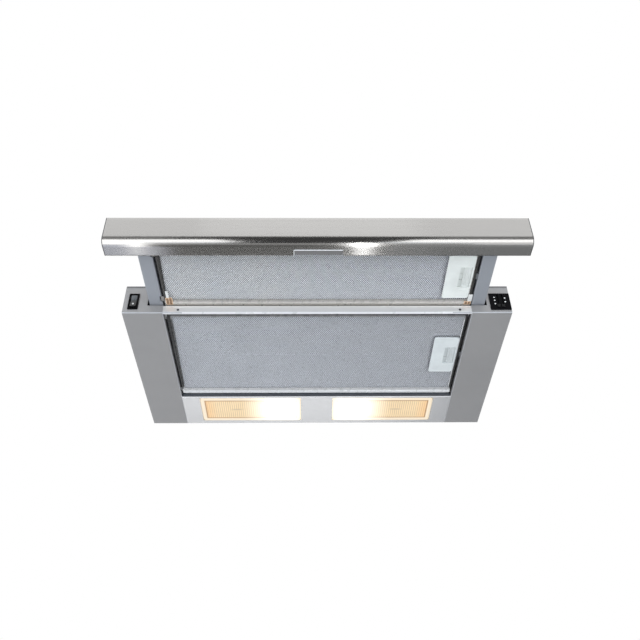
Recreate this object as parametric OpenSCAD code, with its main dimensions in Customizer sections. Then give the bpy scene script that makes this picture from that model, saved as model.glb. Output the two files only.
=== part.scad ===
// Telescopic cooker hood, 60 cm class, with its drawer pulled out.
// X is the width, +Y runs from the front to the rear, +Z is up.
// The origin is the centre of the four cabinet screws, in the plane where the
// side housings meet the underside of the cabinet.

/* [Lower frame] */
// Overall width of the hood
hood_w = 598; // [590:1:606]
// Height of the side housings
frame_h = 55; // [54:1:58]
// Depth of the lower frame, from the housing fronts to the rear panel
body_d = 308; // [306:1:316]
// Width of each side housing
housing_w = 62; // [61:1:64]
// Thickness of the painted steel sheet
sheet = 1; // [0.8:0.1:1.2]
// Bend radius along the lower front edge of a side housing
bend_r = 2.5; // [2:0.5:4]
// Height of the front crossbar between the housings
crossbar_h = 14.6; // [13:0.1:15]

/* [Drawer] */
// Gap between the handle bar and the housing fronts with the drawer out
drawer_out = 120; // [119:1:124]
// Height of the handle bar
handle_h = 49; // [46:1:54]
// Depth of the handle bar, front face to the rear of its lip
handle_d = 28; // [26:1:30]
// Radius of the handle bar's lower front edge
handle_r = 9; // [6:0.5:10]
// Thickness of the handle bar's stainless sheet
handle_t = 1.2; // [1:0.1:1.5]
// Width of the finger notch in the handle's lip
notch_w = 68; // [50:1:80]
// Depth of the finger notch
notch_d = 13; // [8:0.5:14]
// Width of a drawer arm
arm_w = 21; // [20:0.5:21]
// Height of a drawer arm
arm_h = 26; // [24:0.5:26]
// Height of the arms' underside above the hood's underside
arm_z = 16.4; // [16:0.1:17]

/* [Filters] */
// Thickness of a filter cassette
filter_t = 8; // [7.5:0.5:8.5]
// Width of a filter's rim along its front and rear
rim_w = 14; // [12:0.5:16]
// Width of a filter's rim along its sides
rim_side = 8; // [7:0.5:10]
// Front to rear size of the fixed filter
fixed_filter_d = 216.4; // [214.4:0.5:216.4]
// Front to rear size of the drawer filter
drawer_filter_d = 118.5; // [116:0.5:118.5]
// Width of a latch plate
latch_w = 40; // [38:1:42]
// Length of a latch plate
latch_l = 90; // [86:1:91]
// Diamond gaps across one row of a filter's net
net_columns = 18; // [10:1:20]
// Rows of gaps in the fixed filter's net
net_rows = 10; // [6:2:12]

/* [Lamps] */
// Width of a lamp lens
lens_w = 177; // [160:1:180]
// Front to rear size of a lamp lens
lens_d = 69; // [60:1:70]
// Distance between the two lenses
lens_gap = 58; // [56:1:70]
// Largest diameter of a candle lamp
lamp_dia = 33; // [30:1:35]

/* [Motor box] */
// Width of the upper housing
upper_w = 520; // [480:1:522]
// Height of the upper housing above the lower frame
upper_h = 125; // [124:1:130]
// Outside diameter of the outlet collar
outlet_dia = 120; // [118:1:120]
// Length of the outlet collar above its flange
outlet_l = 30; // [26:1:40]
// Diameter of the fan wheel
fan_dia = 92; // [80:1:94]
// Width of the fan wheel
fan_w = 108; // [90:1:110]
// Number of blades on the fan wheel
blades = 24; // [18:1:30]

/* [Cabinet screws] */
// Spacing of the screws across the cabinet
screw_dx = 582; // [580:1:584]
// Spacing of the screws from front to rear
screw_dy = 200; // [180:1:220]
// Diameter of the screw holes
screw_dia = 5.5; // [4.5:0.1:5.5]

/* [Hidden] */

half_w = hood_w / 2;
in_x = half_w - housing_w;               // inner side of a side housing
mount_y = 165;                           // screw pattern's centre, behind the housing fronts

slot_w = 25;                             // slot in a housing's front for a drawer arm
slot_top = frame_h - 9;
return_h = 12;                           // upturned inner edge of a housing's floor

crossbar_lip = 3;                        // depth of the crossbar's lower edge
fixed_filter_y = crossbar_lip + 0.6;     // front of the fixed filter
fixed_filter_z = 5;                      // its underside
filter_x = in_x - 2.5;                   // half the width of either filter
drawer_filter_y = -drawer_out;
drawer_filter_z = arm_z;
skin = 1;                                // sheet of a filter's rim
net_t = 1;                               // thickness of a filter's net
strand = 2.2;                            // width of the net's strands
tongue_w = 10;                           // tongues that hold a filter's left edge
tongue_l = 4.6;
tongue_t = 1.2;

latch_x = in_x - 48;                     // inner edge of a latch plate
latch_t = 2.6;
latch_proud = 1.2;                       // the plate stands this far below the rim
recess_w = 17.5;
recess_l = 42;
recess_x = latch_x + 20;
thumb_w = 11.5;
bolt_w = 12;
bolt_t = 2.4;

arm_out = in_x + 0.5 + arm_w;            // outer side of a drawer arm
arm_wall = 1.2;
arm_rear = 150;                          // rear end of an arm with the drawer out
cover_t = 1;
handle_y = -drawer_out - handle_d;       // front face of the handle
cap_t = 1.2;

rail_x = arm_out + 3.5;                  // open side of a guide rail
rail_w = 10;
rail_t = 1.2;
rail_front = 56;
rail_rear = body_d - 8;
rail_low = arm_z + 2;                    // outer height of the channel, low and high
rail_high = arm_z + arm_h + 0.8;
glide_gap = 0.3;
screw_z = 6;                             // height of the crossbar's screws
screw_tab = 30;                          // tab behind the crossbar for its screw
tab_t = 1.2;

upper_front = 20;                        // front and rear of the upper housing
upper_rear = body_d - 8;
upper_top = frame_h + upper_h;
roof_gap = 1;                            // gap between the motor box and the housings' roofs

fan_y = 150;
fan_z = upper_top - 62;
casing_r = 57;
casing_w = 124;
casing_t = 2;
inlet_r = 38;
shaft_r = 4;
neck_d = 76;                             // front to rear size of the scroll's neck
neck_top = upper_top - 2;
outlet_y = fan_y + casing_r - neck_d / 2;
flap_z = 3.6;                            // height of the flap pins above the collar's base
flap_pin_y = 4;                          // distance of a flap's pin from the collar's centre line
motor_x = casing_w / 2 + 18;
motor_r = 36;
motor_l = 48;
gland_x = -210;
gland_y = 250;

lens_y = body_d - 10 - lens_d;
lens_t = 2;
lens_wall = 1.5;
lens_h = 7.3;
lens_proud = 0.6;
lens_fit = 0.8;
lens_ribs = 44;
rib_w = 1.5;
lens_border = 7;                         // flat border round the ribbed field
lens_step = 0.8;                         // the field lies this far above the border
lamp_y = lens_y + lens_d / 2;
lamp_z = 30;
lamp_end = 134;                          // foot of a lamp, from the centre line
panel_y = fixed_filter_y + fixed_filter_d + 1;
box_t = 0.8;

rocker_x = -(half_w - 15.3);
rocker_z = 22.7;
rocker_w = 9.2;
rocker_l = 25;
rocker_tilt = 6;
pivot_y = 5;
panel_x = half_w - 29.6;                 // inner edge of the right control bezel
panel_w = 29.3;
panel_low = 7;
panel_high = 38.5;
bezel_t = 1.2;
track_x = [half_w - 19, half_w - 11.8];  // the two slider tracks
track_low = 10;
track_high = 35.5;
knob_h = 4.6;

// Moves the drawing frame (housing fronts at y = 0, underside at z = 0) to the origin
module at_datum() {
    translate([0, -mount_y, -frame_h]) children();
}

// Box between two corners
module block(low, high) {
    translate(low) cube(high - low);
}

// Extrudes a section drawn as (y, z) along X
module along_x(x0, x1) {
    translate([x0, 0, 0]) rotate([90, 0, 90]) linear_extrude(x1 - x0) children();
}

// Extrudes a section drawn as (x, z) along Y
module along_y(y0, y1) {
    translate([0, y1, 0]) rotate([90, 0, 0]) linear_extrude(y1 - y0) children();
}

// Round bar along X
module rod_x(x0, x1, y, z, r) {
    translate([x0, y, z]) rotate([0, 90, 0]) cylinder(h = x1 - x0, r = r, $fn = 64);
}

// Round bar along Y
module rod_y(x, y0, y1, z, r) {
    translate([x, y0, z]) rotate([-90, 0, 0]) cylinder(h = y1 - y0, r = r, $fn = 48);
}

// Rectangle with its corner at the origin rounded
module one_round_corner(w, h, r) {
    translate([r, 0]) square([w - r, h]);
    translate([0, r]) square([w, h - r]);
    translate([r, r]) circle(r, $fn = 64);
}

// Rectangle from x0 to x1 with both lower corners rounded
module two_round_corners(x0, x1, h, r) {
    translate([x0 + r, 0]) square([x1 - x0 - 2 * r, h]);
    translate([x0, r]) square([x1 - x0, h - r]);
    translate([x0 + r, r]) circle(r, $fn = 48);
    translate([x1 - r, r]) circle(r, $fn = 48);
}

// ---- Side housings -------------------------------------------------------

// Right-hand housing: folded sheet, open to the inner side
module housing_shell() {
    difference() {
        along_x(in_x, half_w) one_round_corner(body_d, frame_h, bend_r);
        along_x(in_x - 1, half_w - sheet)
            translate([sheet, sheet])
                one_round_corner(body_d - 2 * sheet, frame_h - 2 * sheet, bend_r - sheet);
        block([in_x - 1, -1, crossbar_h + 0.4], [in_x + slot_w, sheet + 1, slot_top]);
        block([in_x - 1, upper_front - 0.5, frame_h - sheet - 0.5],
            [upper_w / 2 + roof_gap, upper_rear + 0.5, frame_h + 1]);
        for (y = [mount_y - screw_dy / 2, mount_y + screw_dy / 2])
            translate([screw_dx / 2, y, frame_h - 5]) cylinder(h = 10, r = screw_dia / 2, $fn = 48);
    }
    block([in_x, sheet, sheet], [in_x + sheet, body_d - sheet, return_h]);
    difference() {
        block([in_x - screw_tab, sheet, sheet + 0.5], [in_x + sheet, sheet + tab_t, return_h]);
        rod_y(crossbar_screw_x()[1], 0, 3, screw_z, 1.6);
    }
}

module side_housing_left() {
    color("darkgray") at_datum() difference() {
        mirror([1, 0, 0]) housing_shell();
        block([rocker_x - 6.4, -1, rocker_z - 14.2], [rocker_x + 6.4, sheet + 1, rocker_z + 14.2]);
        for (y = tongue_places(fixed_filter_y, fixed_filter_d))
            block([-in_x - 2, y - 6, fixed_filter_z - 1], [-in_x + 1, y + 6, return_h + 1]);
    }
}

module side_housing_right() {
    color("darkgray") at_datum() difference() {
        housing_shell();
        block([panel_x + 1.5, -1, panel_low + 1.5],
            [panel_x + panel_w - 1.5, sheet + 1, panel_high - 1.5]);
        bolt_hole(fixed_filter_y + fixed_filter_d / 2, fixed_filter_z);
    }
}

// ---- Front and rear of the lower frame -----------------------------------

module front_crossbar() {
    color("gainsboro") at_datum() difference() {
        along_x(-in_x, in_x) difference() {
            one_round_corner(12, crossbar_h, 1.5);
            translate([sheet, sheet]) square([20, crossbar_h - 2 * sheet]);
            translate([crossbar_lip, -1]) square([20, crossbar_h - sheet]);
        }
        for (x = crossbar_screw_x()) rod_y(x, -1, 2, screw_z, 1.7);
    }
}

function crossbar_screw_x() = [-in_x + 20, in_x - 20];

module crossbar_screws() {
    color("dimgray") at_datum() for (x = crossbar_screw_x()) {
        rod_y(x, -0.8, 0, screw_z, 2.6);
        rod_y(x, 0, sheet + tab_t, screw_z, 1.6);
    }
}

module rear_panel() {
    color("darkgray") at_datum() {
        block([-in_x, body_d - sheet, sheet], [in_x, body_d, frame_h]);
        block([-in_x, upper_rear - 10, frame_h - sheet], [in_x, body_d - sheet, frame_h]);
    }
}

// ---- Lamps ---------------------------------------------------------------

module lamp_panel() {
    color("lightgray") at_datum() difference() {
        union() {
            block([-in_x, panel_y, 0], [in_x, body_d, sheet]);
            block([-in_x, panel_y, sheet], [in_x, panel_y + sheet, 10]);
        }
        for (s = [-1, 1])
            translate([s * (lens_gap + lens_w) / 2, lens_y + lens_d / 2, 0])
                cube([lens_w + 2 * lens_fit, lens_d + 2 * lens_fit, 5], center = true);
    }
}

module lamp_box() {
    color("white") at_datum() difference() {
        block([-in_x + 5, panel_y + 3, sheet], [in_x - 5, body_d - 3, frame_h - 5]);
        block([-in_x + 5 + box_t, panel_y + 3 + box_t, 0],
            [in_x - 5 - box_t, body_d - 3 - box_t, frame_h - 5 - box_t]);
    }
}

// Ribbed tray of clear plastic, right-hand side
module lens_tray() {
    x0 = lens_gap / 2;
    difference() {
        block([x0, lens_y, -lens_proud], [x0 + lens_w, lens_y + lens_d, lens_h - lens_proud]);
        block(
            [x0 + lens_wall, lens_y + lens_wall, lens_t - lens_proud],
            [x0 + lens_w - lens_wall, lens_y + lens_d - lens_wall, lens_h]
        );
        block(
            [x0 + lens_border, lens_y + lens_border, -lens_proud - 1],
            [x0 + lens_w - lens_border, lens_y + lens_d - lens_border, lens_step - lens_proud]
        );
    }
    pitch = (lens_w - 2 * lens_border) / lens_ribs;
    for (i = [0 : lens_ribs - 1])
        translate([x0 + lens_border + pitch * (i + 0.5), lens_y + lens_border, lens_t - lens_proud])
            rotate([0, 45, 0]) translate([-rib_w / 2, 0, -rib_w / 2])
                cube([rib_w, lens_d - 2 * lens_border, rib_w]);
}

module lamp_lens_left() {
    color("moccasin") at_datum() mirror([1, 0, 0]) lens_tray();
}

module lamp_lens_right() {
    color("moccasin") at_datum() lens_tray();
}

// Screw socket on a bracket that hangs from the lamp box
module lamp_holder() {
    difference() {
        union() {
            rod_x(lamp_end - 32, lamp_end + 6, lamp_y, lamp_z, 13.5);
            block([lamp_end + 2, lamp_y - 15, lamp_z - 14],
                [lamp_end + 6, lamp_y + 15, frame_h - 5 - box_t]);
        }
        rod_x(lamp_end - 36, lamp_end, lamp_y, lamp_z, 7.4);
    }
}

module lamp_holder_left() {
    color("whitesmoke") at_datum() mirror([1, 0, 0]) lamp_holder();
}

module lamp_holder_right() {
    color("whitesmoke") at_datum() lamp_holder();
}

// Candle lamp: cap, swelling bulb and tip, turned about its long axis
module candle_lamp() {
    r = lamp_dia / 2;
    translate([lamp_end, lamp_y, lamp_z]) rotate([0, -90, 0]) rotate_extrude($fn = 64) union() {
        square([7, 34]);
        intersection() {
            union() {
                translate([r - 52, 66]) circle(52, $fn = 96);
                translate([0, 33]) square([8, 12]);
            }
            translate([0, 33]) square([r, 67]);
        }
    }
}

module lamp_left() {
    color("lightyellow") at_datum() mirror([1, 0, 0]) candle_lamp();
}

module lamp_right() {
    color("lightyellow") at_datum() candle_lamp();
}

// ---- Upper housing and outlet --------------------------------------------

module upper_housing() {
    w = upper_w / 2;
    low = frame_h - 2 * sheet;
    color("darkgray") at_datum() {
        difference() {
            block([-w, upper_front, low], [w, upper_rear, upper_top]);
            block([-w + sheet, upper_front + sheet, low - 1],
                [w - sheet, upper_rear - sheet, upper_top + 1]);
            block([-in_x - 0.5, upper_front - 1, low - 1], [in_x + 0.5, upper_rear + 1, frame_h]);
        }
        // side flanges, under the roofs of the side housings
        for (s = [0, 1]) mirror([s, 0, 0])
            block([w - sheet, upper_front + sheet, low],
                [rail_x + rail_w - 0.5, upper_rear - sheet, low + sheet]);
        block([-in_x + 0.5, 2, frame_h], [in_x - 0.5, upper_front, frame_h + sheet]);
        block([-in_x + 0.5, 2, slot_top], [in_x - 0.5, 2 + sheet, frame_h]);
    }
}

module top_plate() {
    w = upper_w / 2;
    color("silver") at_datum() difference() {
        block([-w, upper_front, upper_top], [w, upper_rear, upper_top + sheet]);
        intersection() {
            translate([0, outlet_y, upper_top - 1]) cylinder(h = 4, r = outlet_dia / 2 - 6, $fn = 96);
            block([-outlet_dia, outlet_y - neck_d / 2 + 3, 0],
                [outlet_dia, outlet_y + neck_d / 2 - 3, hood_w]);
        }
        translate([gland_x, gland_y, upper_top - 1]) cylinder(h = 4, r = 8.2, $fn = 48);
        for (p = blower_screw_places())
            translate([p[0], p[1], upper_top - 1]) cylinder(h = 4, r = 2.2, $fn = 32);
    }
}

module outlet_collar() {
    r = outlet_dia / 2;
    z0 = upper_top + sheet;
    color("dimgray") at_datum() translate([0, outlet_y, z0]) difference() {
        union() {
            cylinder(h = 2, r = r + 9, $fn = 96);
            cylinder(h = 2 + outlet_l, r = r, $fn = 96);
        }
        translate([0, 0, 2]) cylinder(h = outlet_l + 1, r = r - 2, $fn = 96);
        translate([0, 0, -1]) cylinder(h = 4, r = r - 6, $fn = 96);
        // bearings of the two flaps
        for (s = [-1, 1]) rod_x(-r - 1, r + 1, s * flap_pin_y, flap_z, 1.3);
    }
}

// Half-round rear flap: it hinges beside the collar's centre line and rests over the ledge
module damper_flap() {
    r = outlet_dia / 2;
    difference() {
        translate([0, 0, flap_z - 1.2]) cylinder(h = 1.2, r = r - 3.2, $fn = 96);
        block([-r, -r, 0], [r, flap_pin_y - 0.8, 2 * flap_z]);
    }
    rod_x(-r + 0.6, r - 0.6, flap_pin_y, flap_z, 1.2);
}

module damper_flap_rear() {
    color("gray") at_datum() translate([0, outlet_y, upper_top + sheet]) damper_flap();
}

module damper_flap_front() {
    color("gray") at_datum() translate([0, outlet_y, upper_top + sheet]) mirror([0, 1, 0]) damper_flap();
}

// ---- Blower --------------------------------------------------------------

// Section of the scroll: a drum with a straight neck that rises at the rear
module scroll_section(cut) {
    translate([fan_y, fan_z]) circle(casing_r - cut, $fn = 96);
    translate([outlet_y - neck_d / 2 + cut, fan_z]) square([neck_d - 2 * cut, neck_top - fan_z + cut]);
}

function blower_screw_places() =
    [for (x = [-1, 1], y = [-1, 1]) [x * (casing_w / 2 + 12), outlet_y + y * 22]];

module blower_casing() {
    w = casing_w / 2;
    color("gainsboro") at_datum() difference() {
        union() {
            along_x(-w, w) scroll_section(0);
            for (y = [outlet_y - 22, outlet_y + 22])
                block([-w - 19, y - 7, neck_top - 5], [w + 19, y + 7, neck_top]);
        }
        along_x(-w + casing_t, w - casing_t) scroll_section(casing_t);
        rod_x(-w - 1, w + 1, fan_y, fan_z, inlet_r);
        for (p = blower_screw_places())
            translate([p[0], p[1], neck_top - 6]) cylinder(h = 8, r = 1.8, $fn = 32);
    }
}

module blower_gasket() {
    w = casing_w / 2;
    color("black") at_datum() difference() {
        block([-w, outlet_y - neck_d / 2, neck_top], [w, outlet_y + neck_d / 2, upper_top]);
        block([-w + 3, outlet_y - neck_d / 2 + 3, neck_top - 1],
            [w - 3, outlet_y + neck_d / 2 - 3, upper_top + 1]);
    }
}

module blower_screws() {
    color("silver") at_datum() for (p = blower_screw_places()) translate([p[0], p[1], 0]) {
        translate([0, 0, neck_top - 5]) cylinder(h = upper_top + sheet - neck_top + 5, r = 1.7, $fn = 32);
        translate([0, 0, upper_top + sheet]) cylinder(h = 2, r = 4, $fn = 32);
    }
}

module fan_wheel() {
    r = fan_dia / 2;
    color("slategray") at_datum() translate([0, fan_y, fan_z]) rotate([0, 90, 0]) difference() {
        union() {
            for (z = [-fan_w / 2, fan_w / 2 - 2]) translate([0, 0, z]) difference() {
                cylinder(h = 2, r = r, $fn = 96);
                translate([0, 0, -1]) cylinder(h = 4, r = r - 9, $fn = 96);
            }
            translate([0, 0, -1]) cylinder(h = 2, r = r, $fn = 96);
            translate([0, 0, -12]) cylinder(h = 24, r = 9, $fn = 48);
            for (i = [0 : blades - 1])
                rotate([0, 0, i * 360 / blades])
                    translate([r - 4.6, 0, 0]) rotate([0, 0, 35]) cube([7.4, 1, fan_w - 2], center = true);
        }
        translate([0, 0, -20]) cylinder(h = 40, r = shaft_r, $fn = 48);
    }
}

module fan_shaft() {
    color("silver") at_datum() rod_x(-16, motor_x + motor_l + 8, fan_y, fan_z, shaft_r);
}

module motor() {
    color("darkslategray") at_datum() difference() {
        union() {
            rod_x(motor_x, motor_x + motor_l, fan_y, fan_z, motor_r);
            rod_x(motor_x + motor_l, motor_x + motor_l + 6, fan_y, fan_z, 14);
        }
        rod_x(motor_x - 1, motor_x + motor_l + 7, fan_y, fan_z, shaft_r + 0.05);
    }
}

module motor_bracket() {
    w = casing_w / 2;
    color("silver") at_datum() difference() {
        union() {
            rod_x(w, w + 2, fan_y, fan_z, 51);
            rod_x(motor_x - 2, motor_x, fan_y, fan_z, 51);
            for (a = [90, 210, 330])
                rod_x(w, motor_x, fan_y + 46 * cos(a), fan_z + 46 * sin(a), 4);
        }
        rod_x(w - 1, w + 3, fan_y, fan_z, inlet_r);
        rod_x(motor_x - 3, motor_x + 1, fan_y, fan_z, 12);
    }
}

// ---- Electrics -----------------------------------------------------------

module capacitor() {
    color("whitesmoke") at_datum() translate([-130, 90, 0]) {
        translate([0, 0, upper_top - 58]) cylinder(h = 52, r = 16, $fn = 64);
        translate([0, 0, upper_top - 6]) cylinder(h = 6, r = 5, $fn = 48);
    }
}

module terminal_box() {
    color("black") at_datum() difference() {
        block([gland_x - 38, gland_y - 38, upper_top - 36], [gland_x + 38, gland_y + 38, upper_top]);
        block([gland_x - 36, gland_y - 36, upper_top - 37], [gland_x + 36, gland_y + 36, upper_top - 2]);
        translate([gland_x, gland_y, upper_top - 5]) cylinder(h = 10, r = 8.2, $fn = 48);
    }
}

module terminal_lid() {
    color("dimgray") at_datum()
        block([gland_x - 38, gland_y - 38, upper_top - 38], [gland_x + 38, gland_y + 38, upper_top - 36]);
}

module cable_gland() {
    z0 = upper_top + sheet;
    color("black") at_datum() translate([gland_x, gland_y, 0]) difference() {
        union() {
            translate([0, 0, upper_top - 12]) cylinder(h = sheet + 12, r = 8, $fn = 48);
            translate([0, 0, upper_top - 7]) cylinder(h = 5, r = 12, $fn = 6);
            translate([0, 0, z0]) cylinder(h = 6, r = 12, $fn = 6);
            translate([0, 0, z0 + 6]) cylinder(h = 8, r1 = 10, r2 = 7, $fn = 48);
        }
        translate([0, 0, upper_top - 13]) cylinder(h = 40, r = 4.5, $fn = 48);
    }
}

// ---- Drawer rails --------------------------------------------------------

// Right-hand rail: a channel on a plate that stands between floor and roof of the housing
module guide_rail() {
    x1 = rail_x + rail_w;
    block([x1, rail_front, sheet], [x1 + rail_t, rail_rear, frame_h - sheet]);
    for (z = [rail_low, rail_high - rail_t])
        block([rail_x, rail_front, z], [x1, rail_rear, z + rail_t]);
}

module guide_rail_left() {
    color("silver") at_datum() mirror([1, 0, 0]) guide_rail();
}

module guide_rail_right() {
    color("silver") at_datum() guide_rail();
}

// ---- Left switch ---------------------------------------------------------

module rocker_bezel() {
    color("black") at_datum() difference() {
        union() {
            block([rocker_x - 7.7, -bezel_t, rocker_z - 15.6], [rocker_x + 7.7, 0, rocker_z + 15.6]);
            block([rocker_x - 6.2, 0, rocker_z - 14], [rocker_x + 6.2, 14, rocker_z + 14]);
        }
        block(
            [rocker_x - rocker_w / 2 - 0.3, -3, rocker_z - rocker_l / 2 - 0.5],
            [rocker_x + rocker_w / 2 + 0.3, 12, rocker_z + rocker_l / 2 + 0.5]
        );
        rod_x(rocker_x - 5.6, rocker_x + 5.6, pivot_y, rocker_z, 1.3);
    }
}

module rocker_base() {
    color("dimgray") at_datum() {
        block([rocker_x - 6.2, 14, rocker_z - 14], [rocker_x + 6.2, 24, rocker_z + 14]);
        for (z = [-9, 0, 9]) block([rocker_x - 0.4, 24, rocker_z + z - 3],
            [rocker_x + 0.4, 32, rocker_z + z + 3]);
    }
}

// Rocker with a shallow V front, tipped so that its upper half is pressed in
module rocker() {
    color("dimgray") at_datum() translate([rocker_x, pivot_y, rocker_z]) rotate([-rocker_tilt, 0, 0]) {
        along_x(-rocker_w / 2, rocker_w / 2) polygon([
            [-5.6, 0], [-7.2, rocker_l / 2 - 0.5], [-1, rocker_l / 2 - 1.5], [3, 4],
            [3, -4], [-1, -rocker_l / 2 + 1.5], [-7.2, -rocker_l / 2 + 0.5]
        ]);
        rod_x(-5.4, 5.4, 0, 0, 1.2);
    }
}

// ---- Right controls ------------------------------------------------------

module control_bezel() {
    color("black") at_datum() difference() {
        union() {
            block([panel_x, -bezel_t, panel_low], [panel_x + panel_w, 0, panel_high]);
            block([panel_x + 1.8, 0, panel_low + 1.8], [panel_x + panel_w - 1.8, 10, panel_high - 1.8]);
        }
        block([panel_x + 3, 1, panel_low + 3], [panel_x + panel_w - 3, 11, panel_high - 3]);
        for (x = track_x) block([x - 1.2, -2, track_low], [x + 1.2, 2, track_high]);
    }
}

module control_board() {
    color("darkgreen") at_datum() {
        block([panel_x + 1.8, 10, panel_low + 1.8], [panel_x + panel_w - 1.8, 11.6, panel_high - 1.8]);
        for (x = track_x) block([x - 3, 5.5, panel_low + 3.3], [x + 3, 10, panel_high - 3.3]);
    }
}

// Slider with its finger knob outside the bezel and its stem through the track
module slider(x) {
    z0 = track_low + 0.4;
    block([x - 0.9, -bezel_t, z0], [x + 0.9, 5.2, z0 + knob_h]);
    along_x(x - 2.4, x + 2.4) translate([-bezel_t, 0]) polygon([
        [-0.1, z0 - 0.4], [-0.1, z0 + knob_h + 0.4], [-1.6, z0 + knob_h], [-1, z0 + knob_h / 2], [-1.6, z0]
    ]);
    block([x - 0.9, -bezel_t - 0.2, z0], [x + 0.9, -bezel_t, z0 + knob_h]);
}

module speed_slider() {
    color("dimgray") at_datum() slider(track_x[0]);
}

module light_slider() {
    color("dimgray") at_datum() slider(track_x[1]);
}

// ---- Filters -------------------------------------------------------------

// Places of the tongues along a filter's left edge
function tongue_places(y0, d) = [y0 + 12, y0 + d - 12];

// Hole that a latch bolt enters, in the side to the right of a filter
module bolt_hole(y, z) {
    block([in_x - 1, y - bolt_w / 2 - 0.8, z + latch_t - latch_proud - 0.4],
        [in_x + 2.4, y + bolt_w / 2 + 0.8, z + latch_t - latch_proud + bolt_t + 0.8]);
}

// Folded rim: hollow channel open to the inside, rounded along its lower edges
module filter_frame(y0, d, z0) {
    y1 = y0 + d;
    mid = y0 + d / 2;
    difference() {
        union() {
            intersection() {
                translate([0, 0, z0]) along_x(-filter_x, filter_x) two_round_corners(y0, y1, filter_t, 2.5);
                translate([0, 0, z0]) along_y(y0, y1) two_round_corners(-filter_x, filter_x, filter_t, 2.5);
            }
            for (y = tongue_places(y0, d))
                block([-filter_x - tongue_l, y - tongue_w / 2, z0 + 0.2],
                    [-filter_x + 4, y + tongue_w / 2, z0 + 0.2 + tongue_t]);
        }
        block([-filter_x + rim_side, y0 + rim_w, z0 - 1],
            [filter_x - rim_side, y1 - rim_w, z0 + filter_t + 1]);
        block([-filter_x + 4, y0 + 3, z0 + skin], [filter_x - 2, y1 - 3, z0 + filter_t - skin]);
        // pocket for the latch plate, and the way out for its bolt
        block([latch_x, mid - latch_l / 2, z0 - 1],
            [latch_x + latch_w, mid + latch_l / 2, z0 + latch_t - latch_proud + 3.2]);
        block([latch_x, mid - bolt_w / 2 - 0.5, z0 + latch_t - latch_proud - 0.2],
            [filter_x + 1, mid + bolt_w / 2 + 0.5, z0 + latch_t - latch_proud + bolt_t + 0.4]);
    }
}

// Flat net of crossing strands, held in the rim and cut out round the latch plate
module filter_net(y0, d, z0, rows) {
    window_w = 2 * (filter_x - rim_side);
    window_d = d - 2 * rim_w;
    pitch = [window_w / net_columns, window_d / rows];
    // distance from a gap's centre to the middle of a strand, for gaps twice as long as the row pitch
    reach = pitch[0] * pitch[1] / sqrt(pow(pitch[0], 2) + pow(2 * pitch[1], 2));
    gap = 1 - strand / 2 / reach;
    mid = y0 + d / 2;
    translate([0, mid, z0 + 4.6]) linear_extrude(net_t) difference() {
        square([window_w + 6, window_d + 6], center = true);
        translate([latch_x - 2, -latch_l / 2 - 2]) square([latch_w + 4, latch_l + 4]);
        intersection() {
            square([window_w, window_d], center = true);
            difference() {
                for (j = [0 : rows], i = [0 : net_columns])
                    translate([(i - net_columns / 2 + (j % 2) / 2) * pitch[0], (j - rows / 2) * pitch[1]])
                        scale(gap) diamond(pitch[0], 2 * pitch[1]);
                translate([latch_x - 8, -latch_l / 2 - 8]) square([latch_w + 20, latch_l + 16]);
            }
        }
    }
}

module diamond(w, h) {
    polygon([[-w / 2, 0], [0, -h / 2], [w / 2, 0], [0, h / 2]]);
}

// Plate with a finger recess, set into the rim on the right
module latch_plate(y0, d, z0) {
    mid = y0 + d / 2;
    low = z0 - latch_proud;
    difference() {
        block([latch_x, mid - latch_l / 2, low], [latch_x + latch_w, mid + latch_l / 2, low + latch_t]);
        block([recess_x, mid - recess_l / 2, low - 1],
            [recess_x + recess_w, mid + recess_l / 2, low + latch_t + 1]);
    }
}

// Sliding bolt with its thumb piece in the recess
module latch(y0, d, z0) {
    mid = y0 + d / 2;
    top = z0 - latch_proud + latch_t;
    x0 = recess_x + recess_w - thumb_w - 0.4;
    block([x0, mid - recess_l / 2 + 0.5, z0 - latch_proud + 0.8],
        [x0 + thumb_w, mid + recess_l / 2 - 0.5, top]);
    block([x0, mid - recess_l / 2 + 0.5, z0 - latch_proud - 0.2],
        [x0 + 1.6, mid + recess_l / 2 - 0.5, top]);
    block([latch_x + 8, mid - bolt_w / 2, top], [in_x + 1.4, mid + bolt_w / 2, top + bolt_t]);
}

module fixed_filter_frame() {
    color("silver") at_datum() filter_frame(fixed_filter_y, fixed_filter_d, fixed_filter_z);
}

module fixed_filter_mesh() {
    color("lightsteelblue") at_datum()
        filter_net(fixed_filter_y, fixed_filter_d, fixed_filter_z, net_rows);
}

module fixed_latch_plate() {
    color("white") at_datum() latch_plate(fixed_filter_y, fixed_filter_d, fixed_filter_z);
}

module fixed_latch() {
    color("whitesmoke") at_datum() latch(fixed_filter_y, fixed_filter_d, fixed_filter_z);
}

module drawer_filter_frame() {
    color("silver") at_datum() filter_frame(drawer_filter_y, drawer_filter_d, drawer_filter_z);
}

module drawer_filter_mesh() {
    color("lightsteelblue") at_datum()
        filter_net(drawer_filter_y, drawer_filter_d, drawer_filter_z, net_rows / 2);
}

module drawer_latch_plate() {
    color("white") at_datum() latch_plate(drawer_filter_y, drawer_filter_d, drawer_filter_z);
}

module drawer_latch() {
    color("whitesmoke") at_datum() latch(drawer_filter_y, drawer_filter_d, drawer_filter_z);
}

// ---- Drawer --------------------------------------------------------------

module handle_bar() {
    color("lightgray") at_datum() difference() {
        along_x(-half_w + cap_t, half_w - cap_t) translate([handle_y, 0]) difference() {
            one_round_corner(handle_d, handle_h, handle_r);
            translate([handle_t, handle_t])
                one_round_corner(handle_d, handle_h - 2 * handle_t, handle_r - handle_t);
        }
        block([-notch_w / 2, -drawer_out - notch_d, -1], [notch_w / 2, -drawer_out + 1, handle_t + 1]);
    }
}

module handle_cap() {
    along_x(half_w - cap_t, half_w) translate([handle_y, 0]) one_round_corner(handle_d, handle_h, handle_r);
}

module handle_cap_left() {
    color("gray") at_datum() mirror([1, 0, 0]) handle_cap();
}

module handle_cap_right() {
    color("gray") at_datum() handle_cap();
}

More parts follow.
